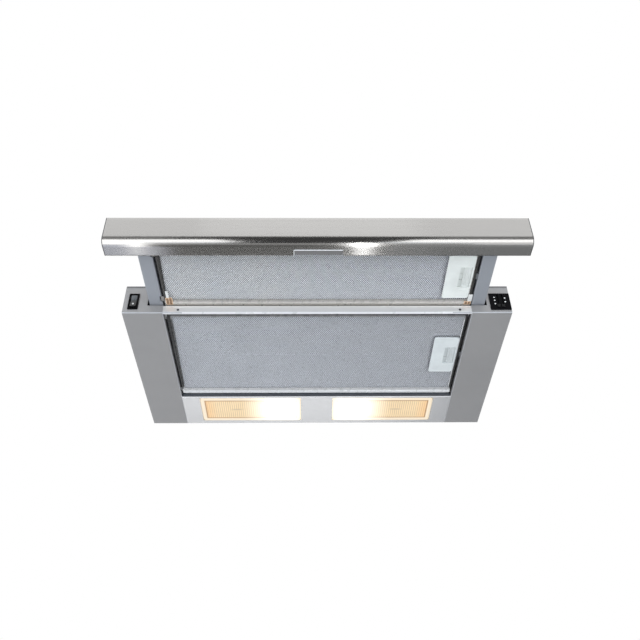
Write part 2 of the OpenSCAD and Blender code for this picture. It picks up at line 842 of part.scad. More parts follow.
// Right-hand arm: box tube from inside the handle to the rail
module drawer_arm() {
    y0 = handle_y + handle_t;
    difference() {
        block([in_x + 0.5, y0, arm_z], [arm_out, arm_rear, arm_z + arm_h]);
        block([in_x + 0.5 + arm_wall, y0 - 1, arm_z + arm_wall],
            [arm_out - arm_wall, arm_rear + 1, arm_z + arm_h - arm_wall]);
    }
}

module drawer_arm_left() {
    color("slategray") at_datum() difference() {
        mirror([1, 0, 0]) drawer_arm();
        for (y = tongue_places(drawer_filter_y, drawer_filter_d))
            block([-in_x - 3.6, y - 6, arm_z - 1], [-in_x + 1, y + 6, arm_z + 6]);
    }
}

module drawer_arm_right() {
    color("slategray") at_datum() difference() {
        drawer_arm();
        bolt_hole(drawer_filter_y + drawer_filter_d / 2, drawer_filter_z);
    }
}

module drawer_cover() {
    color("silver") at_datum()
        block([-arm_out, handle_y + handle_t, arm_z + arm_h], [arm_out, 20, arm_z + arm_h + cover_t]);
}

module drawer_cross_rail() {
    color("silver") at_datum() difference() {
        block([-in_x - 0.5, 3, arm_z + 0.6], [in_x + 0.5, 16, arm_z + arm_h]);
        block([-in_x - 1, 3 + skin, arm_z], [in_x + 1, 17, arm_z + arm_h - skin]);
    }
}

module glide_blocks() {
    x1 = rail_x + rail_w - glide_gap;
    color("ivory") at_datum() for (s = [0, 1], y = [82, 125]) mirror([s, 0, 0])
        block([arm_out, y, rail_low + rail_t + glide_gap], [x1, y + 20, rail_high - rail_t - glide_gap]);
}

// ---- Nodes ---------------------------------------------------------------

side_housing_left();
side_housing_right();
front_crossbar();
crossbar_screws();
rear_panel();
lamp_panel();
lamp_box();
lamp_lens_left();
lamp_lens_right();
lamp_holder_left();
lamp_holder_right();
lamp_left();
lamp_right();
upper_housing();
top_plate();
outlet_collar();
damper_flap_front();
damper_flap_rear();
blower_casing();
blower_gasket();
blower_screws();
fan_wheel();
fan_shaft();
motor();
motor_bracket();
capacitor();
terminal_box();
terminal_lid();
cable_gland();
guide_rail_left();
guide_rail_right();
rocker_bezel();
rocker_base();
rocker();
control_bezel();
control_board();
speed_slider();
light_slider();
fixed_filter_frame();
fixed_filter_mesh();
fixed_latch_plate();
fixed_latch();
handle_bar();
handle_cap_left();
handle_cap_right();
drawer_arm_left();
drawer_arm_right();
drawer_cover();
drawer_cross_rail();
glide_blocks();
drawer_filter_frame();
drawer_filter_mesh();
drawer_latch_plate();
drawer_latch();
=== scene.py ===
import math

import bmesh
import bpy
import numpy as np
from bpy.props import FloatProperty, FloatVectorProperty, IntProperty, PointerProperty
from mathutils import Matrix, Vector


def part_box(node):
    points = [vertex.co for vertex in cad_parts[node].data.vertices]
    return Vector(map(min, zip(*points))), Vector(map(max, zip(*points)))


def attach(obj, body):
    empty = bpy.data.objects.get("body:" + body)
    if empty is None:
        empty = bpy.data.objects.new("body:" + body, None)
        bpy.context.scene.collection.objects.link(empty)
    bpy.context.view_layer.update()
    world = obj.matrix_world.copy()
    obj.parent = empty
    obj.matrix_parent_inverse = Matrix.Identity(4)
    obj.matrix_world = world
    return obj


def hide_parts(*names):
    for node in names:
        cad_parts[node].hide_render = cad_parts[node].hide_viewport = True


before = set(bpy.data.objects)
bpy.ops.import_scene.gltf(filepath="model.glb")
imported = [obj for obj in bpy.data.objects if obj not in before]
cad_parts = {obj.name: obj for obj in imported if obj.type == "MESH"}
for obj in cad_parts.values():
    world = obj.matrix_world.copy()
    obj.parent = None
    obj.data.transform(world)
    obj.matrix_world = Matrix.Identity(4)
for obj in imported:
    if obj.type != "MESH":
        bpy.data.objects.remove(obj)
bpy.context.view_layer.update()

bl_info = {
    "name": "Pull out range hood",
    "version": (1, 0, 0),
    "blender": (4, 5, 0),
    "location": "View3D > Sidebar > Hood",
    "description": "Dresses a telescopic range hood: its handle, filters, lamps and switches",
    "category": "Add Mesh",
}

# Shapes are worked out in millimetres from the centre line, the housings' fronts and the
# underside.
MM = 0.001
FRONT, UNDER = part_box("side_housing_left")[0][1:]
DATUM = np.array([0.0, FRONT, UNDER])


def span(node):
    """Low and high corners of a CAD node, in millimetres from the fronts and the underside."""
    return [(np.array(corner) - DATUM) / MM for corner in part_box(node)]


# ---- Shapes: arrays of points with their faces ----------------------------------------------


def cells(nu, nv, close_u=False, close_v=False):
    """Quads of a grid of nu by nv points, numbered row by row: each joins four neighbours."""
    i, j = np.meshgrid(np.arange(nu if close_u else nu - 1), np.arange(nv if close_v else nv - 1),
                       indexing="ij")
    k, m = (i + 1) % nu, (j + 1) % nv
    return np.stack([i * nv + j, k * nv + j, k * nv + m, i * nv + m], -1)


def merged(*shapes):
    """Several shapes as one: all points in a row, the faces moved on by the points before them."""
    points, faces, count = [], [], 0
    for p, f in shapes:
        points.append(p)
        faces.extend([[n + count for n in face] for face in f])
        count += len(p)
    return np.concatenate(points), faces


def rings(rows):
    """Skin over closed rings rows[s, t], each joined to the next, the first and last filled."""
    n, m = rows.shape[:2]
    faces = cells(n, m, close_v=True).reshape(-1, 4).tolist()
    faces += [list(range(m))[::-1], list(range((n - 1) * m, n * m))]
    return rows.reshape(-1, 3), faces


def doughnut(rows):
    """Skin over closed rings rows[s, t] where the last ring joins the first again."""
    quads = cells(*rows.shape[:2], close_u=True, close_v=True)
    return rows.reshape(-1, 3), quads.reshape(-1, 4).tolist()


def sheet_of(outer, inner, keep=None, close_v=False):
    """Sheet between two grids: a kept cell has a face on each grid, and every edge between a kept
    and a missing cell has a wall from one grid to the other."""
    nu, nv = outer.shape[:2]
    quads = cells(nu, nv, close_v=close_v)
    cu, cv = quads.shape[:2]
    keep = np.ones((cu, cv), bool) if keep is None else keep
    n = nu * nv
    framed = np.zeros((cu + 2, cv + 2), bool)
    framed[1:-1, 1:-1] = keep
    if close_v:
        framed[1:-1, 0], framed[1:-1, -1] = keep[:, -1], keep[:, 0]
    faces = [quads[keep], quads[keep][:, ::-1] + n]
    last = cv if close_v else cv + 1
    for before, after, along in (
        (framed[:-1, 1:-1], framed[1:, 1:-1], (0, 1)),
        (framed[1:-1, :-1][:, :last], framed[1:-1, 1:][:, :last], (1, 0)),
    ):
        i, j = np.nonzero(before != after)
        a = i * nv + j
        b = (i + along[0]) * nv + (j + along[1]) % nv
        turn = after[i, j] == (along == (1, 0))
        a, b = np.where(turn, b, a), np.where(turn, a, b)
        faces.append(np.stack([a, b, b + n, a + n], -1))
    points = np.concatenate([outer.reshape(-1, 3), inner.reshape(-1, 3)])
    return points, np.concatenate(faces).tolist()


def used(shape):
    """The same shape without the points that no face uses."""
    points, faces = shape
    wanted = np.unique(np.concatenate([np.asarray(f) for f in faces]))
    number = np.full(len(points), -1)
    number[wanted] = np.arange(len(wanted))
    return points[wanted], [number[np.asarray(f)].tolist() for f in faces]


def placed(flat, height, axis):
    """Flat outline points (s, t) at a height along an axis: the other two axes take s and t."""
    out = np.empty(flat.shape[:-1] + (3,))
    out[..., axis] = height
    out[..., [i for i in range(3) if i != axis]] = flat
    return out


def extrusion(outline, stations, axis):
    """Closed outline carried along an axis: a ring at each station, both ends filled."""
    return rings(np.stack([placed(outline, s, axis) for s in stations]))


def arc(cx, cy, r, a0, a1, n):
    """n points on a circle: centre plus r times (cosine, sine) of angles from a0 to a1 degrees."""
    a = np.radians(np.linspace(a0, a1, n))
    return np.stack([cx + r * np.cos(a), cy + r * np.sin(a)], -1)


def round_rect(x0, x1, y0, y1, r, n=6, side=1):
    """Outline of a rectangle with quarter circles at its corners, its sides cut into side parts."""
    r = min(r, (x1 - x0) / 2 - 1e-3, (y1 - y0) / 2 - 1e-3)
    parts = [
        arc(x1 - r, y0 + r, r, -90, 0, n), arc(x1 - r, y1 - r, r, 0, 90, n),
        arc(x0 + r, y1 - r, r, 90, 180, n), arc(x0 + r, y0 + r, r, 180, 270, n),
    ]
    out = []
    for k, part in enumerate(parts):
        follow = parts[(k + 1) % 4][0]
        t = np.arange(1, side)[:, None] / side
        out += [part, part[-1] * (1 - t) + follow * t]
    return np.concatenate(out)


def pad(x0, x1, y0, y1, r, levels, axis=2):
    """Rounded plate: at each level (height, inset) the ring is the rectangle drawn in by inset."""
    return rings(np.stack([
        placed(round_rect(x0 + i, x1 - i, y0 + i, y1 - i, max(r - i, 0.05)), h, axis)
        for h, i in levels
    ]))


def spun(profile, centre, axis, n):
    """Circles about an axis, one for each point (radius, height) of a profile."""
    a = np.arange(n) / n * 2 * np.pi
    circle = np.stack([np.cos(a), np.sin(a)], -1)
    rows = np.stack([placed(r * circle, h, axis) for r, h in profile])
    return rows + np.asarray(centre, float)


def turned(profile, centre, axis, n):
    """Solid of revolution: the profile's circles, with the first and last filled."""
    return rings(spun(profile, centre, axis, n))


def pipe(profile, centre, axis, n):
    """Ring of revolution: the circles of a closed profile, the last joined to the first."""
    return doughnut(spun(profile, centre, axis, n))


def screw_head(centre, r, height, axis, sign):
    """Pan head with a cross recess: height falls with the square of the radius, less a notch where
    the smaller of the two distances from the cross's arms is short."""
    radii = np.array([0.02, 0.18, 0.3, 0.42, 0.55, 0.68, 0.8, 0.9, 0.97, 1.0, 1.0])
    a = np.arange(32) / 32 * 2 * np.pi
    x, y = radii[:, None] * np.cos(a), radii[:, None] * np.sin(a)
    fall, recess, arm_half, arm_end = 0.55, 0.55, 0.13, 0.6
    dome = height * (1 - fall * radii[:, None] ** 2) * np.ones_like(x)
    dome[-1] = 0
    notch = (np.minimum(abs(x), abs(y)) < arm_half) & (np.maximum(abs(x), abs(y)) < arm_end)
    dome -= recess * height * notch
    rows = placed(np.stack([x, y], -1) * r, sign * dome, axis)
    return rings(rows + np.asarray(centre, float))


def offset_path(path, t):
    """Points moved t to the left of a path: each along the path's normal there."""
    d = np.gradient(path, axis=0)
    d /= np.linalg.norm(d, axis=1)[:, None]
    return path + t * np.stack([-d[:, 1], d[:, 0]], -1)


def line(a, b, n):
    """n points from a towards b, without b."""
    t = np.arange(n)[:, None] / n
    return np.asarray(a, float) * (1 - t) + np.asarray(b, float) * t


# ---- Finishes -------------------------------------------------------------------------------


class Nodes:
    """A material's node tree, filled step by step."""

    def __init__(self, name):
        self.material = bpy.data.materials.new(name)
        self.material.use_nodes = True
        self.tree = self.material.node_tree
        self.shader = self.tree.nodes["Principled BSDF"]
        self.place = self.add("ShaderNodeTexCoord").outputs["Object"]

    def add(self, kind, **settings):
        node = self.tree.nodes.new(kind)
        for key, value in settings.items():
            if key in node.inputs:
                node.inputs[key].default_value = value
            else:
                setattr(node, key, value)
        return node

    def link(self, out, into):
        self.tree.links.new(out, into)

    def fill(self, socket, value):
        """Gives an input a link, a number or a colour."""
        if isinstance(value, bpy.types.NodeSocket):
            self.link(value, socket)
        else:
            socket.default_value = value if isinstance(value, (int, float)) else (*value, 1)

    def noise(self, scale, stretch=(1, 1, 1), detail=3.0, rough=0.55):
        """Noise over the object's own coordinates, stretched."""
        mapping = self.add("ShaderNodeMapping", Scale=stretch)
        self.link(self.place, mapping.inputs["Vector"])
        node = self.add("ShaderNodeTexNoise", Scale=scale, Detail=detail, Roughness=rough)
        self.link(mapping.outputs["Vector"], node.inputs["Vector"])
        return node.outputs["Fac"]

    def between(self, value, low, high, from_low=0.3, from_high=0.7):
        """A value taken from one range to the range from low to high, and kept within it."""
        node = self.add("ShaderNodeMapRange", **{"From Min": from_low, "From Max": from_high,
                                                 "To Min": low, "To Max": high})
        self.link(value, node.inputs["Value"])
        return node.outputs["Result"]

    def mix(self, factor, a, b):
        """Colour a where the factor is 0, b where it is 1; either may be a colour or a socket."""
        node = self.add("ShaderNodeMix", data_type="RGBA")
        self.link(factor, node.inputs["Factor"])
        self.fill(node.inputs[6], a)
        self.fill(node.inputs[7], b)
        return node.outputs[2]

    def maths(self, operation, a, b=0.0):
        node = self.add("ShaderNodeMath", operation=operation)
        self.fill(node.inputs[0], a)
        self.fill(node.inputs[1], b)
        return node.outputs[0]

    def bump(self, height, strength, distance):
        node = self.add("ShaderNodeBump", Strength=strength, Distance=distance)
        self.link(height, node.inputs["Height"])
        return node.outputs["Normal"]

    def where(self, axis):
        """One of the object's own coordinates, in metres."""
        node = self.add("ShaderNodeSeparateXYZ")
        self.link(self.place, node.inputs[0])
        return node.outputs[axis]

    def done(self, colour, rough, normal=None, **constants):
        """Links the shader's inputs and sets those that are the same all over the surface."""
        self.link(colour, self.shader.inputs["Base Color"])
        self.link(rough, self.shader.inputs["Roughness"])
        if normal is not None:
            self.link(normal, self.shader.inputs["Normal"])
        for key, value in constants.items():
            self.shader.inputs[key.replace("_", " ")].default_value = value
        return self.material


def tint(colour, k):
    return tuple(min(1.0, c * k) for c in colour)


def painted(name, colour, rough=0.42, peel=0.06):
    """Baked paint: a cloudy tone, fine metallic grain and the slight dimpling of sprayed paint."""
    m = Nodes(name)
    cloud = m.mix(m.between(m.noise(9), 0, 1), tint(colour, 0.95), tint(colour, 1.05))
    grain = m.mix(m.between(m.noise(2600, detail=1), 0, 0.22), cloud, tint(colour, 1.35))
    return m.done(grain, m.between(m.noise(45), rough - 0.06, rough + 0.06),
                  m.bump(m.noise(700, detail=2), peel, 0.0004), Metallic=0.15)


def brushed(name, colour, rough=0.17, pull=0.9):
    """Brushed sheet: noise drawn out along X gives hair lines in tone, gloss and height, and
    reflections are pulled out across them, along U of the piece's own map."""
    m = Nodes(name)
    tangent = m.add("ShaderNodeTangent", direction_type="UV_MAP", uv_map="grain")
    m.link(tangent.outputs[0], m.shader.inputs["Tangent"])
    drawn = (0.012, 1, 1)
    hair = m.noise(2400, drawn, detail=2, rough=0.6)
    band = m.noise(260, drawn, detail=3, rough=0.6)
    lined = m.mix(m.between(hair, 0, 1), tint(colour, 0.95), tint(colour, 1.04))
    cloudy = m.mix(m.between(band, 0, 1), tint(colour, 0.97), tint(colour, 1.03))
    tone = m.mix(m.between(m.noise(6, detail=2), 0, 1), lined, cloudy)
    return m.done(tone, m.between(band, rough - 0.01, rough + 0.015), m.bump(hair, 0.006, 0.0002),
                  Metallic=1.0, Anisotropic=pull)


def bright_metal(name, colour, rough=0.16, metal=1.0, uneven=0.05):
    """Rolled or plated metal: cloudy gloss, faint scratches along X and a soft mottling."""
    m = Nodes(name)
    tone = m.mix(m.between(m.noise(60, detail=4), 0, 1), tint(colour, 1 - uneven),
                 tint(colour, 1 + uneven))
    scratch = m.noise(900, (0.03, 1, 1), detail=2)
    return m.done(tone, m.between(m.noise(110, detail=4), rough - uneven, rough + uneven),
                  m.bump(scratch, uneven, 0.0002), Metallic=metal)


def painted_reflection_strip(name, colour):
    """Bright strip in painted reflection and shade: the shade attribute takes each point from black
    to the colour.
    """
    m = Nodes(name)
    shade = m.add("ShaderNodeAttribute", attribute_name="shade").outputs["Fac"]
    tone = m.mix(m.between(m.noise(60, detail=3), 0, 1), tint(colour, 0.97), tint(colour, 1.03))
    return m.done(m.mix(shade, (0, 0, 0), tone), m.between(m.noise(110), 0.25, 0.31),
                  m.bump(m.noise(500, (0.05, 1, 1)), 0.02, 0.0002), Metallic=0.15)


def moulded(name, colour, rough=0.4, grain=0.08, shine=0.5):
    """Moulded plastic: a fine spark-eroded grain and a little unevenness of tone and gloss."""
    m = Nodes(name)
    tone = m.mix(m.between(m.noise(35, detail=3), 0, 1), tint(colour, 0.93), tint(colour, 1.07))
    return m.done(tone, m.between(m.noise(150), rough - 0.06, rough + 0.06),
                  m.bump(m.noise(1900, detail=2), grain, 0.0003), Specular_IOR_Level=shine)


# ---- Pieces ---------------------------------------------------------------------------------


def piece(name, shape, finish, body, replaces=(), smooth=35.0, weld=True, grain=None,
          shade=None):
    """Makes a mesh object from a shape: doubles merged, faces turned outwards, edges above the
    angle kept sharp. It rides on the body and stands for the CAD nodes named. grain gives each
    point's place in the map that brushed finishes follow, and shade its tone of painted
    reflection and shade; a piece with either isn't welded."""
    points, faces = shape
    mesh = bpy.data.meshes.new(name)
    mesh.from_pydata((points * MM + DATUM).tolist(), [], faces)
    build = bmesh.new()
    build.from_mesh(mesh)
    if weld and grain is None and shade is None:
        bmesh.ops.remove_doubles(build, verts=build.verts, dist=2e-6)
    bmesh.ops.recalc_face_normals(build, faces=build.faces)
    build.to_mesh(mesh)
    build.free()
    mesh.polygons.foreach_set("use_smooth", np.ones(len(mesh.polygons), bool))
    mesh.set_sharp_from_angle(angle=math.radians(smooth))
    if grain is not None:
        corner = np.empty(len(mesh.loops), int)
        mesh.loops.foreach_get("vertex_index", corner)
        mesh.uv_layers.new(name="grain").data.foreach_set("uv", grain[corner].ravel())
    if shade is not None:
        tones = mesh.attributes.new("shade", "FLOAT", "POINT").data
        tones.foreach_set("value", np.ravel(shade).astype(np.float32))
    mesh.materials.append(finish)
    thing = bpy.data.objects.new(name, mesh)
    bpy.context.scene.collection.objects.link(thing)
    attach(thing, body)
    if replaces:
        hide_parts(*replaces)


FINISHES = {}


def finish(key):
    """A finish by its short name, made from the scene's colours when it is first asked for. Each
    row is its maker, the material's name and colour, and then what that maker takes."""
    if key not in FINISHES:
        c = bpy.context.scene.hood_colours
        make, *given = {
            "paint": (painted, "paint_grey", c.paint),
            "paint_arm": (painted, "paint_arm", c.arm, 0.38),
            "seam": (painted, "paint_seam", tint(c.paint, 0.55), 0.5),
            # a darker copy of the housing paint, painted shade on the flange inside the handle
            "flange": (painted, "paint_flange", tint(c.paint, 0.6), 0.5),
            # lighter paints on edges and fold beads, painted highlights along them
            "edge": (painted, "edge_light", (0.50, 0.51, 0.53), 0.35),
            "panel_edge": (painted, "panel_edge", (0.86, 0.86, 0.87), 0.3),
            "white_box": (painted, "lamp_box_white", (0.78, 0.77, 0.74), 0.5),
            "motor": (painted, "motor_black", (0.035, 0.036, 0.04), 0.48, 0.12),
            "stainless": (brushed, "stainless_brushed", c.stainless),
            "panel": (bright_metal, "paint_panel", c.panel, 0.24, 0.5, 0.012),
            "crossbar": (bright_metal, "steel_crossbar", c.crossbar, 0.24, 0.4, 0.015),
            "zinc": (bright_metal, "steel_zinc", (0.62, 0.64, 0.66), 0.34),
            "shaft": (bright_metal, "steel_ground", (0.6, 0.6, 0.61), 0.22),
            "rim": (bright_metal, "aluminium_rim", c.rim, 0.14),
            "seal": (bright_metal, "aluminium_warm", (0.72, 0.68, 0.63), 0.3, 0.5, 0.04),
            # brown and copper tones of the corner tabs, painted reflections of the lamps' warm
            # light
            "painted_brown_reflection": (bright_metal, "tab_plated", (0.26, 0.16, 0.10), 0.3, 0.4, 0.05),
            "painted_copper_reflection": (bright_metal, "tab_plated_edge", (0.86, 0.62, 0.42), 0.3, 0.2, 0.05),
            # filter rims whose runs carry painted reflection and shade through the shade attribute
            "rim_runs": (painted_reflection_strip, "aluminium_rim_runs", (0.99, 0.99, 1.0)),
            "rim_runs_warm": (painted_reflection_strip, "aluminium_rim_runs_warm", (0.96, 0.92, 0.87)),
            "latch": (moulded, "latch_plastic", c.latch, 0.38, 0.05),
            # the drawer's latch takes lighter copies of the latch plastic, painted light; the
            # slides are darker copies, painted shade of the recess they sit in
            "latch_pale": (moulded, "latch_plastic_pale", (0.875, 0.905, 0.87), 0.38, 0.05),
            "latch_slide": (moulded, "latch_slide_plastic", tint(c.latch, 0.84), 0.4, 0.05),
            "latch_slide_pale": (moulded, "latch_slide_pale", (0.76, 0.79, 0.76), 0.4, 0.05),
            # the bolt in a darker grey, painted shadow in the arm's slot
            "bolt": (moulded, "bolt_plastic", (0.16, 0.17, 0.18), 0.4, 0.05),
            "black": (moulded, "switch_black", (0.003, 0.003, 0.004), 0.3, 0.05, 0.06),
            "grey": (moulded, "switch_grey", (0.034, 0.036, 0.04), 0.22, 0.05),
            "knob": (moulded, "knob_black", (0.01, 0.01, 0.011), 0.4, 0.08, 0.25),
            "print": (moulded, "print_white", (0.82, 0.82, 0.8), 0.5, 0.05),
            "cap": (moulded, "cap_grey", (0.03, 0.031, 0.034), 0.4, 0.12),
            # dark strip ahead of the lamp panel, painted shade
            "gap_painted_shade": (moulded, "seal_strip", (0.045, 0.05, 0.06), 0.35, 0.1),
            "casing": (moulded, "casing_grey", (0.42, 0.43, 0.44), 0.5, 0.12),
            "collar": (moulded, "collar_grey", (0.1, 0.103, 0.11), 0.48, 0.12),
            "ceramic": (moulded, "ceramic_white", (0.72, 0.7, 0.66), 0.32, 0.03),
            "rubber": (moulded, "gasket_black", (0.02, 0.02, 0.021), 0.85, 0.3),
            "glide": (moulded, "glide_ivory", (0.6, 0.57, 0.48), 0.45, 0.06),
            "board": (moulded, "board_green", (0.02, 0.11, 0.05), 0.4, 0.06),
        }[key]
        FINISHES[key] = make(*given)
    return FINISHES[key]


# ---- Settings -------------------------------------------------------------------------------


def colour_of(name, description, default):
    return FloatVectorProperty(name=name, description=description, default=default, size=3,
                               min=0, max=1, subtype="COLOR")


def length_of(name, description, millimetres, low, high):
    return FloatProperty(name=name, description=description, default=millimetres * MM,
                         min=low * MM, max=high * MM, unit="LENGTH")


class HoodColours(bpy.types.PropertyGroup):
    """Colours of the hood's main finishes"""
    paint: colour_of("Housing paint", "Painted steel of the side housings", (0.341, 0.333, 0.331))
    arm: colour_of("Arm paint", "Painted drawer arms", (0.33, 0.345, 0.375))
    panel: colour_of("Lamp panel", "Painted sheet round the lamps", (0.74, 0.735, 0.74))
    crossbar: colour_of("Crossbar", "Front crossbar between the housings", (0.89, 0.88, 0.865))
    stainless: colour_of("Stainless steel", "Brushed sheet of the handle bar", (0.60, 0.592, 0.58))
    rim: colour_of("Filter rim", "Bright aluminium round the filters", (0.72, 0.73, 0.75))
    foil: colour_of("Filter foil", "Expanded aluminium foil of the filters", (0.72, 0.735, 0.77))
    latch: colour_of("Latch plate", "Pale plastic of the latch plates", (0.77, 0.81, 0.81))
    lens: colour_of("Lens", "Cream plastic of the lamp lenses", (0.80, 0.615, 0.37))


class HoodSizes(bpy.types.PropertyGroup):
    """Sizes of the details that the dressing adds"""
    foil_pitch: length_of("Foil pitch", "Width of one diamond of the filter foil", 3.2, 2.2, 6)
    foil_step: length_of("Foil step", "Depth of one diamond of the filter foil", 4.5, 3, 8)
    strand: length_of("Strand", "Width of the foil's strands", 0.75, 0.4, 1.2)
    sheet: length_of("Sheet", "Thickness of the handle's stainless sheet", 1.2, 0.8, 1.5)
    lens_ribs: IntProperty(name="Lens ribs", description="Ribs across one lens", default=44,
                           min=20, max=60)


# ---- Operators ------------------------------------------------------------------------------


class HoodPart:
    """What the operators have in common"""
    bl_options = {"REGISTER"}

    def execute(self, context):
        self.make(context.scene.hood_sizes, context.scene.hood_colours)
        return {"FINISHED"}


class HOOD_OT_finishes(HoodPart, bpy.types.Operator):
    """Gives every CAD node its finish"""
    bl_idname = "hood.finishes"
    bl_label = "Finishes of the CAD nodes"

    NODES = {
        "paint": "side_housing_left side_housing_right rear_panel upper_housing",
        "zinc": "top_plate crossbar_screws blower_screws motor_bracket guide_rail_left "
                "guide_rail_right drawer_cover drawer_cross_rail",
        "paint_arm": "drawer_arm_left drawer_arm_right",
        "crossbar": "front_crossbar",
        "panel": "lamp_panel",
        "white_box": "lamp_box lamp_left lamp_right lamp_lens_left lamp_lens_right",
        "ceramic": "lamp_holder_left lamp_holder_right capacitor",
        "collar": "outlet_collar damper_flap_front damper_flap_rear",
        "casing": "blower_casing fan_wheel",
        "rubber": "blower_gasket",
        "shaft": "fan_shaft",
        "motor": "motor",
        "black": "terminal_box cable_gland rocker_bezel control_bezel",
        "grey": "terminal_lid rocker_base rocker speed_slider light_slider",
        "board": "control_board",
        "rim": "fixed_filter_frame drawer_filter_frame fixed_filter_mesh drawer_filter_mesh",
        "latch": "fixed_latch_plate fixed_latch drawer_latch_plate drawer_latch",
        "stainless": "handle_bar",
        "cap": "handle_cap_left handle_cap_right",
        "glide": "glide_blocks",
    }

    def make(self, sizes, colours):
        given = {name: key for key, names in self.NODES.items() for name in names.split()}
        missing = set(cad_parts) - set(given)
        if missing:
            raise RuntimeError(f"no finish for {sorted(missing)}")
        for name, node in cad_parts.items():
            node.data.materials.clear()
            node.data.materials.append(finish(given[name]))


class HOOD_OT_handle(HoodPart, bpy.types.Operator):
    """Folded stainless handle bar with its finger notch, and the two end caps"""
    bl_idname = "hood.handle"
    bl_label = "Handle bar"

    CREST, FOLD, HEM = 1.6, 10.8, 1.35  # radii: face's upper edge, face to lip, lip's free edge
    NOTCH_WIDE, NOTCH_DEEP, NOTCH_RAMP = 35.2, 11.2, 2.4  # the notch's half width, depth and slope

    def skin(self, low, high, sheet):
        """Sheet of one section carried along the bar: top, face, fold, lip and the lip's free edge,
        which the notch draws forward in a step with rounded corners."""
        crest, fold, hem = self.CREST, self.FOLD, self.HEM
        x = np.unique(np.concatenate([
            np.linspace(low[0], high[0], 41), np.linspace(-38, -30, 25), np.linspace(30, 38, 25),
        ]))
        ramp = np.clip((self.NOTCH_WIDE - abs(x)) / self.NOTCH_RAMP, 0, 1)
        notch = self.NOTCH_DEEP * (ramp ** 2 * (3 - 2 * ramp))
        outer, inner = [], []
        for v, end in zip(x, high[1] - notch):
            path = np.concatenate([
                line((high[1], high[2]), (low[1] + crest, high[2]), 4),
                arc(low[1] + crest, high[2] - crest, crest, 90, 180, 7),
                line((low[1], high[2] - crest - 0.2), (low[1], low[2] + fold + 0.2), 10)[1:],
                arc(low[1] + fold, low[2] + fold, fold, 180, 270, 30),
                line((low[1] + fold + 0.2, low[2]), (end - hem - 0.15, low[2]), 12)[1:],
                arc(end - hem, low[2] + hem, hem, -90, 80, 12),
            ])
            outer.append(placed(path, v, 0))
            inner.append(placed(offset_path(path, sheet), v, 0))
        outer, inner = np.stack(outer), np.stack(inner)
        # the map's U runs down the section, across the hair lines, and its V along the bar
        steps = np.diff(outer, axis=1, prepend=outer[:, :1])
        run = np.cumsum(np.linalg.norm(steps, axis=2), axis=1)
        grain = np.stack([run, np.broadcast_to(x[:, None], run.shape)], -1).reshape(-1, 2) / 100
        piece("handle_skin", sheet_of(outer, inner), finish("stainless"), "drawer",
              ["handle_bar"], grain=np.concatenate([grain, grain]))

    def notch_trim(self, low, high, sheet):
        """Bead round the finger notch in pale paint, a painted highlight, a round section carried
        along its three sides and thinner towards the ends, and the flange that stands behind it in
        a darker copy of the housing paint, painted shade inside the handle."""
        wide, deep = 34.4, high[1] - 11.4
        way = np.concatenate([
            line((-wide, high[1] - 2), (-wide, deep + 1), 8),
            arc(1 - wide, deep + 1, 1, 180, 270, 5),
            line((1.2 - wide, deep), (wide - 1.2, deep), 24),
            arc(wide - 1, deep + 1, 1, 270, 360, 5),
            line((wide, deep + 1.2), (wide, high[1] - 1.8), 8),
        ])
        ahead = np.gradient(way, axis=0)
        ahead /= np.linalg.norm(ahead, axis=1)[:, None]
        out = np.stack([ahead[:, 1], -ahead[:, 0]], -1)
        ring = arc(0, 0, 1, 0, 315, 8)
        stations, radii = (-wide, 1 - wide, wide - 1, wide), (0.65, 0.9, 0.9, 0.35)
        radius = np.interp(way[:, 0], stations, radii)[:, None]
        flat = way[:, None] + (radius * ring[:, 0])[..., None] * out[:, None]
        rise = (low[2] + 0.35 + radius * ring[:, 1])[..., None]
        piece("notch_edge", rings(np.concatenate([flat, rise], -1)), finish("panel_edge"), "drawer")
        under = low[2] + sheet
        # flange in a darker copy of the housing paint, painted shade
        flange = pad(-38, 38, deep - 3, high[1] - 1.2, 0.6,
                     [(under + 0.05, 0.2), (under + 0.25, 0), (under + 0.85, 0)])
        piece("notch_painted_shade_flange", flange, finish("flange"), "drawer")

    def cap(self, node, side):
        """End cap: the bar's outline at five depths, drawn in where its edges are rounded."""
        a, b = span(node)
        back = b[0] if side < 0 else a[0]
        crest, fold, corner = self.CREST, self.FOLD, 1.2
        rows = []
        for depth, inset in ((0, 0.15), (0.15, 0), (0.75, 0), (1.05, 0.18), (1.2, 0.5)):
            outline = np.concatenate([
                arc(b[1] - corner, a[2] + corner, corner - inset, -90, 0, 5),
                arc(b[1] - corner, b[2] - corner, corner - inset, 0, 90, 5),
                arc(a[1] + crest, b[2] - crest, crest - inset, 90, 180, 7),
                arc(a[1] + fold, a[2] + fold, fold - inset, 180, 270, 16),
            ])
            rows.append(placed(outline, back + side * depth, 0))
        piece(f"{node}_shell", rings(np.stack(rows)), finish("cap"), "drawer",
              [node])

    def make(self, sizes, colours):
        low, high = span("handle_bar")
        self.skin(low, high, sizes.sheet / MM)
        self.notch_trim(low, high, sizes.sheet / MM)
        self.cap("handle_cap_left", -1)
        self.cap("handle_cap_right", 1)


